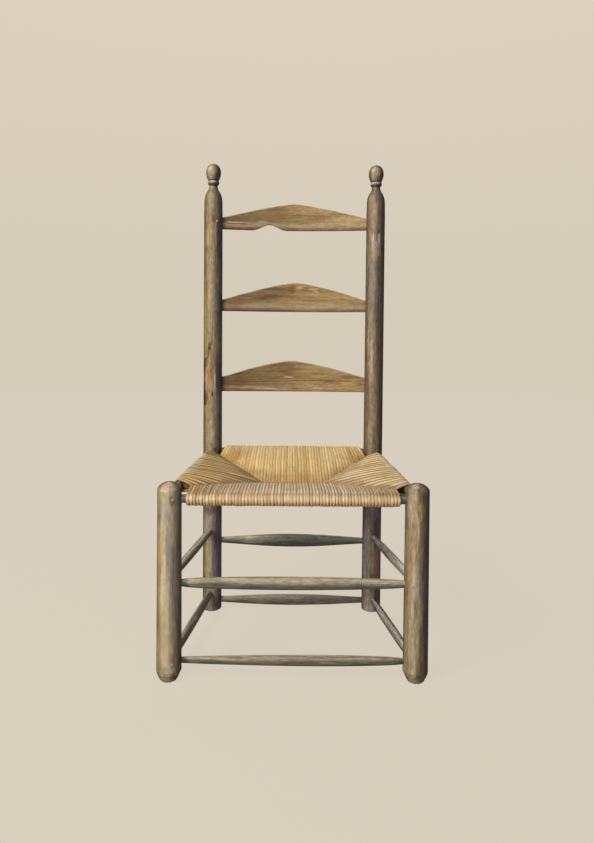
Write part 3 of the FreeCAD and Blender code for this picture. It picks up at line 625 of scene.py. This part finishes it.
# Finishes of the wooden pieces. Washes are (tint, streak width, streak length, noise start,
# noise stop, strength) and may add how they blend. Stains are (tint, centre, half sizes,
# raggedness, strength) and may add the width of the grain in their edge and how soft it is. Some
# stains are painted light or painted shade rather than real stains, as marked. All lie in the
# piece's own frame, whose Z starts at the foot of a post or at a bar's first end.

RIGHT, BACK, DOWN = np.array([1.0, 0, 0]), np.array([0, 1.0, 0]), np.array([0, 0, -1.0])

POST_WASHES = (
    ("#b5965c", 12, 150, 0.52, 0.68, 0.60, "COLOR"),
    ("#84886f", 9, 110, 0.52, 0.68, 0.70, "COLOR"),
    ("#878486", 8, 100, 0.54, 0.70, 0.80, "COLOR"),
    ("#4d4034", 4, 60, 0.58, 0.74, 0.60),
    ("#c6b592", 4, 45, 0.62, 0.78, 0.35),
)
BAR_WASHES = (
    ("#858a74", 8, 110, 0.48, 0.64, 0.70, "COLOR"),
    ("#c0ad80", 6, 90, 0.55, 0.68, 0.50),
    ("#855b49", 6, 50, 0.60, 0.72, 0.60, "COLOR"),
    ("#4c453a", 4, 90, 0.56, 0.72, 0.65),
)
# Foot of a front post: a dark line at the top of the whittled cut, olive facets, painted shade on the side
# facets and painted shade along the bottom
FOOT_STAINS_AND_PAINTED_SHADE = (
    ("#4f4630", (0, 0, 19.6), (70, 70, 2.0), 0.9, 0.55, 5.0, 0.7),
    ("#84846a", (0, 0, 2), (70, 70, 17), 0.25, 0.8),
    ("#3b3a28", (-19, -12, 6), (7, 20, 14), 0.6, 0.7, 5.0, 0.7),
    ("#35321f", (16, -12, 6), (8, 20, 14), 0.6, 0.8, 5.0, 0.7),
    ("#2c2a1c", (0, 0, -1), (70, 70, 4.5), 0.4, 0.75, 5.0, 0.9),
)
# Finial of a rear post: painted shade in the creases above and below a pale grey ring, a dark olive neck,
# and a ball with painted shade on its right, painted light on its front and left and a small painted
# highlight up on the left
FINIAL_STAINS_AND_PAINTED_LIGHT = (
    ("#37301f", (0, 0, 1037), (40, 40, 2.4), 0.3, 0.9),
    ("#a19f94", (-4, 0, 1032.6), (18, 40, 3.2), 0.4, 0.9),
    ("#2f2a22", (0, 0, 1025.5), (40, 40, 3.6), 0.3, 0.9),
    ("#5d5840", (3, 0, 1008), (40, 40, 18), 0.8, 0.5, 5.0, 0.8),
    ("#4f4c3a", (9, -10, 1058), (9, 14, 26), 0.9, 0.7, 4.0, 0.6),
    ("#a3957c", (-3, -12, 1057), (16, 20, 19), 0.8, 0.65, 3.0, 0.7),
    ("#d0c4a6", (-6, -14, 1064), (7, 10, 9), 1.2, 0.7, 3.0, 0.8),
    ("#b09780", (-7, -12, 1051), (8, 12, 10), 1.0, 0.7, 3.0, 0.8),
)

# Posts: how strongly the grain shows, the back's tone, nine tones from left to right, and then
# stains, which come on top of those that the front posts share, or the rear ones. Besides the
# paint's hues, the nine tones paint dark outlines, a lit tan left side and a shaded dark right
# side. Stains that are painted light or shade are marked as such.
POST_FINISHES = {
    "left_front_post": (
        0.6, "#857861",
        ("#5b4d31", "#827860", "#94856c", "#c2ab7c", "#bfaf98", "#a29176", "#a18f75", "#766a62", "#39342a"),
        # Painted shade right of the foot's front facet, then painted light on that facet
        ("#5b5138", (11, -17, 12), (8, 12, 8), 1.2, 0.6),
        ("#a39b80", (-2, -20, 8), (8, 14, 9), 0.8, 0.6, 5.0, 0.6),
        ("#857a5c", (-7, -20, 27), (13, 16, 13), 0.9, 0.65, 5.0, 0.8),
        # Painted highlights on the dome: a pale ridge and a pinkish patch
        ("#cfc2b4", (-4, -16, 362), (14, 12, 3.5), 0.8, 0.8, 5.0, 0.6),
        ("#b99a8a", (-1, -14, 371), (13, 14, 7), 0.6, 0.8, 5.0, 0.6),
        ("#bd9460", (-15, -16, 245), (8, 24, 32), 0.9, 0.4, 5.0, 0.8),
        ("#8f9b9c", (-2.5, -23, 328), (4.5, 14, 34), 0.8, 0.85, 5.0, 0.6),
        ("#8d918f", (1.5, -23, 250), (4.5, 14, 60), 0.9, 0.7, 5.0, 0.6),
        ("#77706f", (9, -21, 215), (6, 14, 110), 0.8, 0.6, 5.0, 0.6),
        ("#9d9a68", (-1, -23, 90), (8, 16, 44), 0.9, 0.5, 5.0, 0.7),
        ("#7e5836", (8, -21, 345), (6, 12, 13), 1.0, 0.8, 5.0, 0.6),
        ("#7b5a55", (9, -21, 44), (6, 12, 20), 1.0, 0.6, 5.0, 0.7),
    ),
    "right_front_post": (
        1.0, "#7d705c",
        ("#4f3d25", "#706647", "#8d7e5c", "#a28a6f", "#b0a38a", "#7b6547", "#766448", "#524850", "#39393d"),
        # Painted shade right of the foot's front facet
        ("#4d4228", (5, -18, 12), (9, 12, 6), 1.2, 0.7),
        ("#6f6756", (2, -14, 366), (24, 18, 14), 0.9, 0.6, 5.0, 0.8),
        # Painted highlight on the dome
        ("#b0a092", (-8, -14, 372), (9, 14, 5), 0.9, 0.8, 5.0, 0.6),
        ("#4f4a3c", (9, -20, 352), (9, 12, 10), 1.5, 0.8, 4.0, 0.6),
        ("#9d9c80", (1, -23, 325), (4.5, 14, 26), 0.9, 0.6, 5.0, 0.6),
        ("#b89c7c", (-8, -22, 235), (6, 14, 60), 0.9, 0.5, 5.0, 0.7),
        ("#8b8c66", (0, -23, 130), (8, 14, 36), 0.9, 0.6, 5.0, 0.7),
        ("#8f6a4e", (-20, -13, 180), (5, 14, 90), 0.9, 0.5, 5.0, 0.7),
        ("#695a35", (10, -20, 300), (5, 12, 26), 1.2, 0.6, 4.0, 0.6),
    ),
    "left_rear_post": (
        1.2, "#75684f",
        ("#564a32", "#62583f", "#76694f", "#97875d", "#95866f", "#7f7556", "#6d675d", "#5f505d", "#3f3836"),
        ("#8f9078", (-6, -16, 1000), (7, 12, 14), 1.0, 0.6, 4.0, 0.8),
        ("#8a6850", (-2, -21, 948), (17, 14, 40), 1.0, 0.6, 5.0, 0.9),
        ("#74403a", (4, -21, 939), (9, 12, 10), 1.2, 0.8, 4.0, 0.8),
        ("#ae8568", (-7, -20, 905), (9, 12, 32), 1.0, 0.75, 5.0, 0.8),
        ("#554238", (-15, -16, 868), (7, 12, 12), 1.2, 0.6, 5.0, 0.8),
        # Painted shade on the right side
        ("#3c2e2a", (15, -15, 905), (7, 14, 80), 0.8, 0.7, 5.0, 0.8),
        ("#9a8f4e", (-17, -15, 690), (4.5, 14, 130), 0.8, 0.6, 5.0, 0.7),
        # Painted highlight down the front
        ("#ac9074", (-4, -21, 790), (5, 12, 50), 0.9, 0.5, 5.0, 0.7),
        ("#77804c", (3, -22, 486), (5, 10, 26), 0.9, 0.7, 5.0, 0.7),
        # Pale blue-grey painted highlight below the scar
        ("#9aa09f", (1, -22, 428), (6, 10, 38), 0.9, 0.65, 5.0, 0.7),
        ("#a9846b", (-14.5, -17, 556), (9.5, 12, 42), 0.5, 0.95, 4.0, 0.6),
        ("#a2795a", (-7.5, -20, 560), (5.5, 12, 46), 0.6, 0.85, 4.0, 0.6),
        ("#8a6036", (-0.5, -22, 580), (6.5, 12, 48), 0.6, 0.9, 4.0, 0.6),
        ("#6e4232", (-17, -16, 592), (5, 12, 14), 1.0, 0.85, 4.0, 0.6),
        ("#5c3a26", (-5, -22, 632), (6, 12, 15), 1.0, 0.9, 4.0, 0.6),
        ("#764434", (-14, -17, 508), (7, 12, 18), 0.9, 0.9, 4.0, 0.5),
        # In the scar: a painted highlight along its edge, painted shade on its right side and in its hole
        ("#cdbfa6", (7.2, -21, 546), (1.8, 8, 36), 0.8, 0.75),
        ("#3f4450", (12, -19, 560), (5, 12, 62), 0.8, 0.7, 5.0, 0.6),
        ("#1c1512", (1.5, -22, 519), (1.8, 8, 8.5), 0.2, 0.95),
        # Painted shade where the side rail enters the post
        ("#2b2724", (8, -21, 386), (7, 10, 6), 1.0, 0.8, 4.0, 0.7),
        # Painted shade under the seat
        ("#54443f", (0, -20, 240), (40, 24, 20), 0.8, 0.8, 5.0, 0.9),
        ("#8d8583", (-12, -16, 195), (10, 16, 50), 0.7, 0.7, 5.0, 0.7),
        # Painted shade in purple on the right half below the seat
        ("#696070", (11, -17, 150), (12, 18, 110), 0.3, 0.8, 5.0, 0.5),
        ("#6e6680", (19, -10, 130), (7, 18, 120), 0.3, 0.85, 5.0, 0.5),
        ("#9a9262", (-9, -18, 120), (9, 16, 60), 0.7, 0.8, 5.0, 0.6),
        ("#94794a", (-2, -22, 50), (10, 12, 14), 0.9, 0.7, 5.0, 0.7),
        ("#625c68", (3, 0, 8), (40, 40, 26), 0.5, 0.75, 5.0, 0.7),
    ),
    "right_rear_post": (
        1.15, "#75684f",
        ("#443423", "#645740", "#665a46", "#8e795b", "#867861", "#746457", "#5e5245", "#64504a", "#2a231f"),
        ("#a88a68", (-4, -21, 965), (7, 10, 22), 0.9, 0.7, 5.0, 0.7),
        ("#56492f", (4, -21, 914), (18, 12, 15), 1.0, 0.75, 4.0, 0.8),
        ("#a58a73", (-1, -21, 861), (14, 10, 30), 0.8, 0.85, 5.0, 0.7),
        ("#a0928a", (-2, -21, 880), (13, 10, 12), 0.8, 0.85, 4.0, 0.6),
        ("#a69a94", (-9, -20, 896), (4.5, 10, 15), 0.8, 0.9, 4.0, 0.5),
        ("#a69a94", (5, -21, 896), (4.5, 10, 15), 0.8, 0.9, 4.0, 0.5),
        ("#4a3328", (7, -20, 850), (5, 10, 9), 1.2, 0.8, 4.0, 0.6),
        ("#c2a58a", (-9, -20, 610), (5, 10, 90), 0.9, 0.6, 5.0, 0.7),
        ("#787a58", (0, -22, 600), (3, 8, 80), 0.9, 0.6, 5.0, 0.7),
        ("#7f7682", (-14, -16, 770), (5, 10, 80), 0.9, 0.5, 5.0, 0.7),
        # Painted shade under the seat
        ("#74646a", (0, -20, 235), (40, 24, 32), 0.8, 0.75, 5.0, 0.9),
        # Painted light in the seat's cast shadow
        ("#b3aaa0", (-14, -16, 120), (12, 20, 130), 0.5, 0.85, 5.0, 0.5),
        ("#a8a078", (0, -22, 130), (7, 12, 50), 0.8, 0.85, 5.0, 0.6),
        ("#ac7a5c", (10, -19, 125), (7, 12, 50), 0.8, 0.85, 5.0, 0.6),
        # Painted shade in purple and blue on the right side
        ("#84646a", (18, -12, 140), (9, 16, 100), 0.5, 0.9, 5.0, 0.6),
        ("#7f86a0", (8, -20, 70), (10, 14, 16), 0.9, 0.8, 5.0, 0.7),
        # Painted light on the foot, in the seat's cast shadow
        ("#b5a897", (-8, -16, 12), (20, 24, 36), 0.5, 0.85, 5.0, 0.6),
    ),
}

# Stretchers: start, end, by how many degrees the middle of what shows lies above the level,
# nine tones from the upper outline to the lower one, and then stains. Besides the paint's hues,
# the tones paint light and shade, and the right-hand stretchers' very pale tones paint light
# where the seat's shadow falls on them.
BAR_FINISHES = {
    "front_upper_stretcher": (
        front_post_at(-1, FRONT_UPPER_HEIGHT), front_post_at(1, FRONT_UPPER_HEIGHT), 22.4,
        ("#81795f", "#9a9073", "#b2a994", "#aaa189", "#979281", "#707066", "#6a685e", "#6f695e", "#625f59"),
        ("#9a7656", (-2, -10, 300), (7, 12, 40), 0.8, 0.4, 5.0, 0.8),
        ("#4d4238", (-4, -10, 95), (6, 12, 60), 0.8, 0.6, 5.0, 0.8),
        ("#2b2b26", (3, -6, 30), (16, 16, 14), 0.8, 0.7, 5.0, 0.8),
        ("#4d6a60", (6, -10, 170), (4, 12, 70), 0.8, 0.5, 5.0, 0.8)),
    "front_lower_stretcher": (
        front_post_at(-1, FRONT_LOWER_HEIGHT), front_post_at(1, FRONT_LOWER_HEIGHT), 28.8,
        ("#989182", "#aaa08d", "#897b69", "#9d907e", "#887f6d", "#686659", "#5c5d53", "#707164", "#403e38"),
        ("#8a6450", (1, -9, 190), (6, 12, 60), 0.8, 0.6, 5.0, 0.8),
        ("#3c4f47", (2, -9, 80), (9, 12, 40), 0.8, 0.6, 5.0, 0.8),
        ("#2f302b", (3, -8, 26), (14, 14, 20), 0.8, 0.8, 5.0, 0.8),
        ("#2c3731", (5, -8, 436), (12, 14, 36), 0.8, 0.8, 5.0, 0.8),
        ("#3c4f47", (6, -9, 380), (9, 12, 60), 0.8, 0.6, 5.0, 0.8),
        # Painted highlight along the top
        ("#b5a37c", (-5, -9, 110), (3, 12, 60), 1.0, 0.6, 5.0, 0.8)),
    "rear_upper_stretcher": (
        rear_post_at(-1, REAR_UPPER_HEIGHT), rear_post_at(1, REAR_UPPER_HEIGHT), 18.4,
        ("#939177", "#b1b093", "#cecfbb", "#b1b4a6", "#9e9d91", "#827d74", "#6c655e", "#5e5449", "#3f3b36"),
        ("#5c5d53", (-3, -9, 50), (14, 16, 70), 0.6, 0.8, 5.0, 0.9)),
    "rear_lower_stretcher": (
        rear_post_at(-1, REAR_LOWER_HEIGHT), rear_post_at(1, REAR_LOWER_HEIGHT), 23.6,
        ("#938c7c", "#aaa28f", "#a59d8f", "#92897c", "#82786c", "#746a5f", "#746961", "#6c625c", "#464041")),
    "left_upper_stretcher": (
        front_post_at(-1, LEFT_UPPER_HEIGHTS[0]), rear_post_at(-1, LEFT_UPPER_HEIGHTS[1]), 50.7,
        ("#8c8c7b", "#979784", "#939284", "#bbbeb3", "#a59d8c", "#a18e7c", "#896e5c", "#735b4b", "#6a5d55")),
    "right_upper_stretcher": (
        rear_post_at(1, RIGHT_UPPER_HEIGHTS[1]), front_post_at(1, RIGHT_UPPER_HEIGHTS[0]), 50.7,
        ("#aaa08c", "#bdb49b", "#e3ddc5", "#ececec", "#ecece6", "#e3d4cb", "#b9aca2", "#6d6454", "#49433a"),
        ("#9a9182", (0, -8, 225), (18, 20, 84), 0.5, 0.8, 5.0, 0.9)),
    "left_lower_stretcher": (
        front_post_at(-1, LEFT_LOWER_HEIGHTS[0]), rear_post_at(-1, LEFT_LOWER_HEIGHTS[1]), 58.6,
        ("#91938f", "#9a9b96", "#6d7172", "#545252", "#5b514b", "#67574f", "#856e67", "#816f66", "#524740")),
    "right_lower_stretcher": (
        rear_post_at(1, RIGHT_LOWER_HEIGHTS[1]), front_post_at(1, RIGHT_LOWER_HEIGHTS[0]), 58.6,
        ("#6a5f4f", "#746756", "#716255", "#a79f99", "#ddd9d1", "#cdccc0", "#a3a49e", "#5f5b4b", "#3c3c35"),
        ("#7a7166", (0, -8, 190), (18, 20, 120), 0.6, 0.6, 5.0, 0.9)),
}

SLAT_HALF_LENGTH = 185.0
SLAT_FACE = ((0, "#4f402c"), (0.36, "#7c6546"), (0.48, "#9d825a"), (0.58, "#a38860"), (0.70, "#b89f76"),
             (1, "#d2b98d"))
# Painted shade and wear across a slat: darker towards its left end where it is less lit, lighter with wear
# to the right
SLAT_SHADE_AND_WEAR_ACROSS = ((0, "#aeaca8"), (0.14, "#b6b4ae"), (0.24, "#c8c6c0"), (0.36, "#cdcac4"), (0.50, "#f0ede8"),
               (0.62, "#ffffff"), (1, "#ffffff"))
SLAT_WASHES = (
    ("#93874f", 13, 80, 0.50, 0.66, 0.65, "COLOR"),
    ("#86664e", 10, 70, 0.55, 0.70, 0.50, "COLOR"),
    ("#5d4328", 5, 40, 0.56, 0.72, 0.40),
    ("#b3a078", 7, 35, 0.58, 0.74, 0.40),
)
LOW_BAND = ("#a89880", (11, 0, 0), (11, 60, 1200), 0.5, 0.75, 9.0, 0.9)
LOW_EDGE = ("#33261f", (-3, 0, 0), (16, 60, 1200), 0.25, 0.9, 7.0, 1.0)
# Slat stains are placed by (height, forward, across)
SLAT_FINISHES = {
    "top_slat": (
        LOW_BAND,
        LOW_EDGE,
        ("#6b5632", (24, 0, -150), (15, 60, 60), 0.9, 0.65, 7.0, 0.9),
        ("#8a6a38", (38, 0, -40), (12, 60, 60), 1.0, 0.5, 7.0, 0.9),
        ("#b7a578", (28, 0, 120), (14, 60, 60), 1.0, 0.5, 7.0, 0.9),
        ("#a37a66", (7.5, 8, -128), (6.5, 30, 52), 0.6, 0.85, 5.0, 0.5),
        ("#a0988a", (20, 8, -78), (5, 30, 22), 0.7, 0.8, 5.0, 0.6),
        # Painted highlight along the lip's upper edge
        ("#c4b898", (17.0, 8, -132), (2.0, 30, 52), 0.6, 0.8, 5.0, 0.6),
        ("#4a3228", (13.6, 8, -128), (1.8, 30, 54), 0.6, 0.85, 5.0, 0.6),
        ("#4c3a2c", (1.0, 8, -120), (3.2, 30, 60), 0.4, 0.85, 5.0, 0.7),
        ("#4b3b30", (15.5, 8, -61), (3.4, 30, 16), 0.5, 0.85, 5.0, 0.7),
    ),
    "middle_slat": (
        LOW_BAND,
        LOW_EDGE,
        ("#7f523a", (19, 0, -142), (16, 60, 46), 0.9, 0.6, 5.0, 1.0),
        ("#6f5330", (40, 0, -60), (20, 60, 60), 1.0, 0.35, 7.0, 0.9),
        ("#5b4123", (55, 0, -6), (11, 60, 16), 1.2, 0.6, 5.0, 0.7),
        ("#ccb07a", (58, 0, 14), (8, 60, 14), 1.5, 0.7, 4.0, 1.0),
        ("#c8ac78", (54, 0, 50), (9, 60, 14), 1.5, 0.7, 4.0, 1.0),
        ("#9c7a55", (28, 0, -20), (14, 60, 40), 1.0, 0.6, 7.0, 0.9),
        ("#7d6145", (18, 0, 172), (14, 60, 8), 0.8, 0.5, 5.0, 0.8),
    ),
    "bottom_slat": (
        ("#b0a28c", (5, 0, 30), (6, 60, 150), 1.2, 0.6, 7.0, 0.9),
        ("#ab9a82", (10, 0, -95), (8, 60, 100), 0.8, 0.7, 7.0, 0.9),
        ("#cdbfa6", (8.5, 0, 62), (2.4, 60, 22), 1.0, 0.85, 4.0, 0.7),
        ("#cdbfa6", (6.5, 0, -62), (2.0, 60, 40), 1.0, 0.75, 4.0, 0.7),
        ("#4c3a28", (-3, 0, 0), (11, 60, 1200), 0.25, 0.8, 7.0, 1.0),
        ("#7d5437", (20, 0, -130), (13, 60, 60), 1.0, 0.6, 7.0, 0.9),
        ("#6a4c2b", (52, 0, -12), (18, 60, 50), 1.0, 0.6, 7.0, 0.9),
        ("#d8c79a", (36, 0, -12), (2.0, 60, 12), 1.2, 0.9, 4.0, 0.6),
        ("#b39a5c", (38, 0, 70), (7, 60, 60), 1.0, 0.6, 5.0, 0.9),
        ("#54391f", (27, 0, 80), (1.5, 60, 110), 1.0, 0.75),
        ("#54391f", (24, 0, -80), (1.5, 60, 90), 1.0, 0.6),
        ("#bd9c55", (22, 0, 135), (12, 60, 44), 1.0, 0.6, 7.0, 0.9),
    ),
}

finishes = {}
for number, (node_name, (grain, back, tones, *stains)) in enumerate(POST_FINISHES.items()):
    post_at, height, distance, shared = (
        (front_post_at, FRONT_POST_HEIGHT, CAMERA_DISTANCE, FOOT_STAINS_AND_PAINTED_SHADE) if "front" in node_name else
        (rear_post_at, REAR_POST_HEIGHT, CAMERA_DISTANCE + SEAT_DEPTH, FINIAL_STAINS_AND_PAINTED_LIGHT))
    side = -1 if node_name.startswith("left") else 1
    start, end = post_at(side, 0), post_at(side, height)
    finishes[node_name] = worn_paint_and_painted_light(
        "worn_olive_milk_paint_on_turned_maple_" + node_name, own_frame(start, end, RIGHT),
        lit_and_shaded_bands(-math.atan(start[0] / distance), back, tones), POST_WASHES, (*shared, *stains),
        7.0 * number, grain)
for number, (node_name, (start, end, above, tones, *stains)) in enumerate(BAR_FINISHES.items()):
    finishes[node_name] = worn_paint_and_painted_light(
        "worn_grey_green_milk_paint_on_shaved_ash_" + node_name, own_frame(start, end, DOWN),
        lit_and_shaded_bands(math.radians(-above), "#5a554a", tones), BAR_WASHES, stains, 40 + 7.0 * number)
for number, (rail, (start, end)) in enumerate(rail_axes().items()):
    finishes[rail + "_seat_rail"] = worn_paint_and_painted_light(
        "bare_split_ash_dark_with_dust_%s_seat_rail" % rail, own_frame(start, end, DOWN),
        ((0, "#4a464a"), (0.3, "#77747a"), (0.5, "#656068"), (1, "#4a464a")), (), (), 100 + 7.0 * number)
for number, (node_name, stains) in enumerate(SLAT_FINISHES.items()):
    up_the_back = np.array([0, math.sin(RAKE), math.cos(RAKE)])
    start = REAR_FOOT_Y * BACK + SLAT_BASES[node_name] * up_the_back
    finishes[node_name] = rubbed_stain_and_painted_shade(
        "rubbed_brown_stain_on_riven_oak_" + node_name, own_frame(start, start + RIGHT, up_the_back),
        stains, 150 + 7.0 * number)
PEG_HEIGHTS = {"slat": SLAT_PEG_HEIGHT, "rail": FRONT_RAIL_HEIGHT, "upper": FRONT_UPPER_HEIGHT,
               "lower": FRONT_LOWER_HEIGHT}
for node_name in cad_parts:
    if node_name.endswith("_peg"):
        side, held = node_name.split("_")[:2]
        post_at = rear_post_at if held == "slat" else front_post_at
        at = post_at(-1 if side == "left" else 1, PEG_HEIGHTS[held])
        # A peg's pale tone is bare wood, made paler still as a painted highlight
        finishes[node_name] = worn_paint_and_painted_light(
            "whittled_hickory_peg_" + node_name, own_frame(at, at - BACK, RIGHT),
            ((0, "#8d7c62"), (0.5, "#cbbd9e"), (1, "#8d7c62")), (("#7b6b52", 2, 20, 0.5, 0.7, 0.6),))

for node_name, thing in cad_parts.items():
    if node_name in finishes:
        thing.data.materials.clear()
        thing.data.materials.append(finishes[node_name])


# The seat

# For each panel: strands, tones, tint at the mitres, tint over the rail (a pale painted
# highlight), dark side, shoulder tint (painted shade) and stains. The tones are a clean strand,
# a browner one, an olive mottle and the painted shade of the flanks. Stains are placed from the
# middle of the chair on the floor.
SEAT_FINISHES = {
    "front": (66, ("#d9c094", "#b6956a", "#a58f62", "#77522e"), "#a17d52", "#ecd9ba", None, "#d4cfc8"),
    "rear": (50, ("#ead09c", "#cdae76", "#ccb66c", "#9a6e38"), "#a37c48", "#d0b278", ((0, 1, 0), -0.08, 0.3),
             "#ffffff", (("#a98350", (-135, 105, 380), (42, 60, 40), 0.6, 0.7, 9.0, 0.9),
                         ("#b08e58", (140, 105, 380), (36, 60, 40), 0.6, 0.5, 9.0, 0.9))),
    "left": (40, ("#cdaf78", "#674c22", "#8c7f42", "#3c2a12"), "#786036", "#cbc2b0",
             ((-1, 0, 0), 0.62, 0.85)),
    "right": (36, ("#ead6ae", "#88673e", "#ac9560", "#4a3018"), "#98764f", "#dcc09c",
              ((1, 0, 0), 0.62, 0.85)),
}

stuffing_finish = rush("loose_cattail_stuffing", ("#7d6740", "#6b5633", "#5f5030", "#3a2814"),
                       "#5a4528", "#5a4528", shift=5.0)
panels = seat_panels()
for panel, (strands, *looks) in SEAT_FINISHES.items():
    finish = rush("twisted_cattail_rush_" + panel, *looks)
    paired = panel in ("left", "right")
    woven = rush_strands(panel + "_rush_strands", panels[panel], strands, finish, paired)
    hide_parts("rush_seat")
    stuffing = stuffing_body(panel + "_loose_stuffing", panels[panel], stuffing_finish)
    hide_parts(panel + "_stuffing")


# Stage, light and camera, in metres

def floor_paper():
    """Pale paper that glows evenly. Near the chair a small share of it is matt white instead,
    which shows a soft trace of shadow. Its underside is clear."""
    made, tree = new_material("pale_paper_floor")
    spot = add(tree, "TexCoord").outputs["Object"]
    far = add(tree, "VectorMath", {0: spot}, operation="LENGTH").outputs["Value"]
    reach = add(tree, "Math", {0: far, 1: 1 / 14}, operation="MULTIPLY")
    glow = add(tree, "ValToRGB", {0: reach}, stops=((0, "#d8cfbe"), (0.2, "#d7cebd"), (1, "#d4cbb9")))
    even = add(tree, "Emission", {"Color": glow, "Strength": 1.0})
    plain = add(tree, "BsdfDiffuse", {"Color": colour("#dcd3c2")})
    share = add(tree, "MapRange", {"Value": far, "From Min": 0.5, "From Max": 1.5,
                                   "To Min": 0.06, "To Max": 0.0})
    paper = add(tree, "MixShader", {0: share, 1: even, 2: plain})
    clear = add(tree, "BsdfTransparent")
    behind = add(tree, "NewGeometry").outputs["Backfacing"]
    add(tree, "OutputMaterial", {"Surface": add(tree, "MixShader", {0: behind, 1: paper, 2: clear})})
    return made


def surround_paper():
    """The same paper all round, a little lighter and warmer overhead."""
    made, tree = new_material("pale_paper_surround")
    height = add(tree, "SeparateXYZ", {0: add(tree, "TexCoord").outputs["Object"]}).outputs["Z"]
    rise = add(tree, "Math", {0: height, 1: 1 / 24}, operation="MULTIPLY")
    glow = add(tree, "ValToRGB", {0: rise}, stops=((0, "#d4cbb9"), (0.35, "#d6ccba"), (1, "#ddd1bf")))
    add(tree, "OutputMaterial", {"Surface": add(tree, "Emission", {"Color": glow, "Strength": 1.0})})
    return made


bpy.ops.mesh.primitive_plane_add(size=60.0, location=(0, 0, -0.0002))
floor = bpy.context.object
floor.name = "floor"
floor.data.materials.append(floor_paper())
bpy.ops.mesh.primitive_uv_sphere_add(radius=45.0, location=(0, 0, 0))
surround = bpy.context.object
surround.name = "surround"
surround.data.materials.append(surround_paper())
for prop in (floor, surround):
    prop.visible_diffuse = prop.visible_glossy = prop.visible_shadow = False

# Soft cool light from all of the room, and a warmer part that pale ground throws back
scene = bpy.context.scene
world = bpy.data.worlds.new("studio")
scene.world = world
world.use_nodes = True
tree = world.node_tree
tree.nodes.clear()
room = add(tree, "Background", {"Color": colour("#dcdfe6"), "Strength": 0.26})
ground = add(tree, "Background", {"Color": colour("#e6dcc8"), "Strength": 0.40})
height = add(tree, "SeparateXYZ", {0: add(tree, "TexCoord").outputs["Generated"]}).outputs["Z"]
share = add(tree, "MapRange", {"Value": height, "From Min": -0.3, "From Max": 0.2})
add(tree, "OutputWorld", {"Surface": add(tree, "MixShader", {0: share, 1: ground, 2: room})})


def softbox(name, place, aim, size, power, tint):
    """A round soft light that shines from its place towards its aim."""
    lamp = bpy.data.lights.new(name, "AREA")
    lamp.shape = "DISK"
    lamp.size = size
    lamp.energy = power
    lamp.color = colour(tint)[:3]
    made = bpy.data.objects.new(name, lamp)
    made.location = place
    made.rotation_euler = (Vector(aim) - Vector(place)).to_track_quat("-Z", "Y").to_euler()
    made.visible_camera = False
    scene.collection.objects.link(made)


softbox("key", (-1.90, -1.72, 2.47), (0, 0, 0.5), 1.3, 108.0, "#fff4e2")
softbox("low_fill", (-1.30, -2.45, 0.48), (0.05, 0, 0.15), 1.4, 20.0, "#eceef4")
softbox("back_fill", (0.15, 3.00, 0.85), (0, 0, 0.5), 1.6, 30.0, "#f4f0e8")

lens = bpy.data.cameras.new("view")
camera = bpy.data.objects.new("view", lens)
scene.collection.objects.link(camera)
scene.camera = camera
lens.sensor_width = SENSOR_WIDTH
lens.lens = SENSOR_WIDTH * FOCAL_PX / PHOTO_HEIGHT_PX
lens.shift_x = SHIFT_RIGHT_PX / PHOTO_HEIGHT_PX
lens.shift_y = SHIFT_UP_PX / PHOTO_HEIGHT_PX
lens.clip_start, lens.clip_end = 0.05, 100.0
camera.location = (CAMERA_X * MM, (FRONT_Y - CAMERA_DISTANCE) * MM, CAMERA_HEIGHT * MM)
aim = (Matrix.Rotation(CAMERA_TURN, 4, "Z") @ Matrix.Rotation(math.pi / 2 - CAMERA_DIP, 4, "X")
       @ Matrix.Rotation(CAMERA_ROLL, 4, "Z"))
camera.rotation_euler = aim.to_euler()

scene.view_settings.view_transform = "Standard"
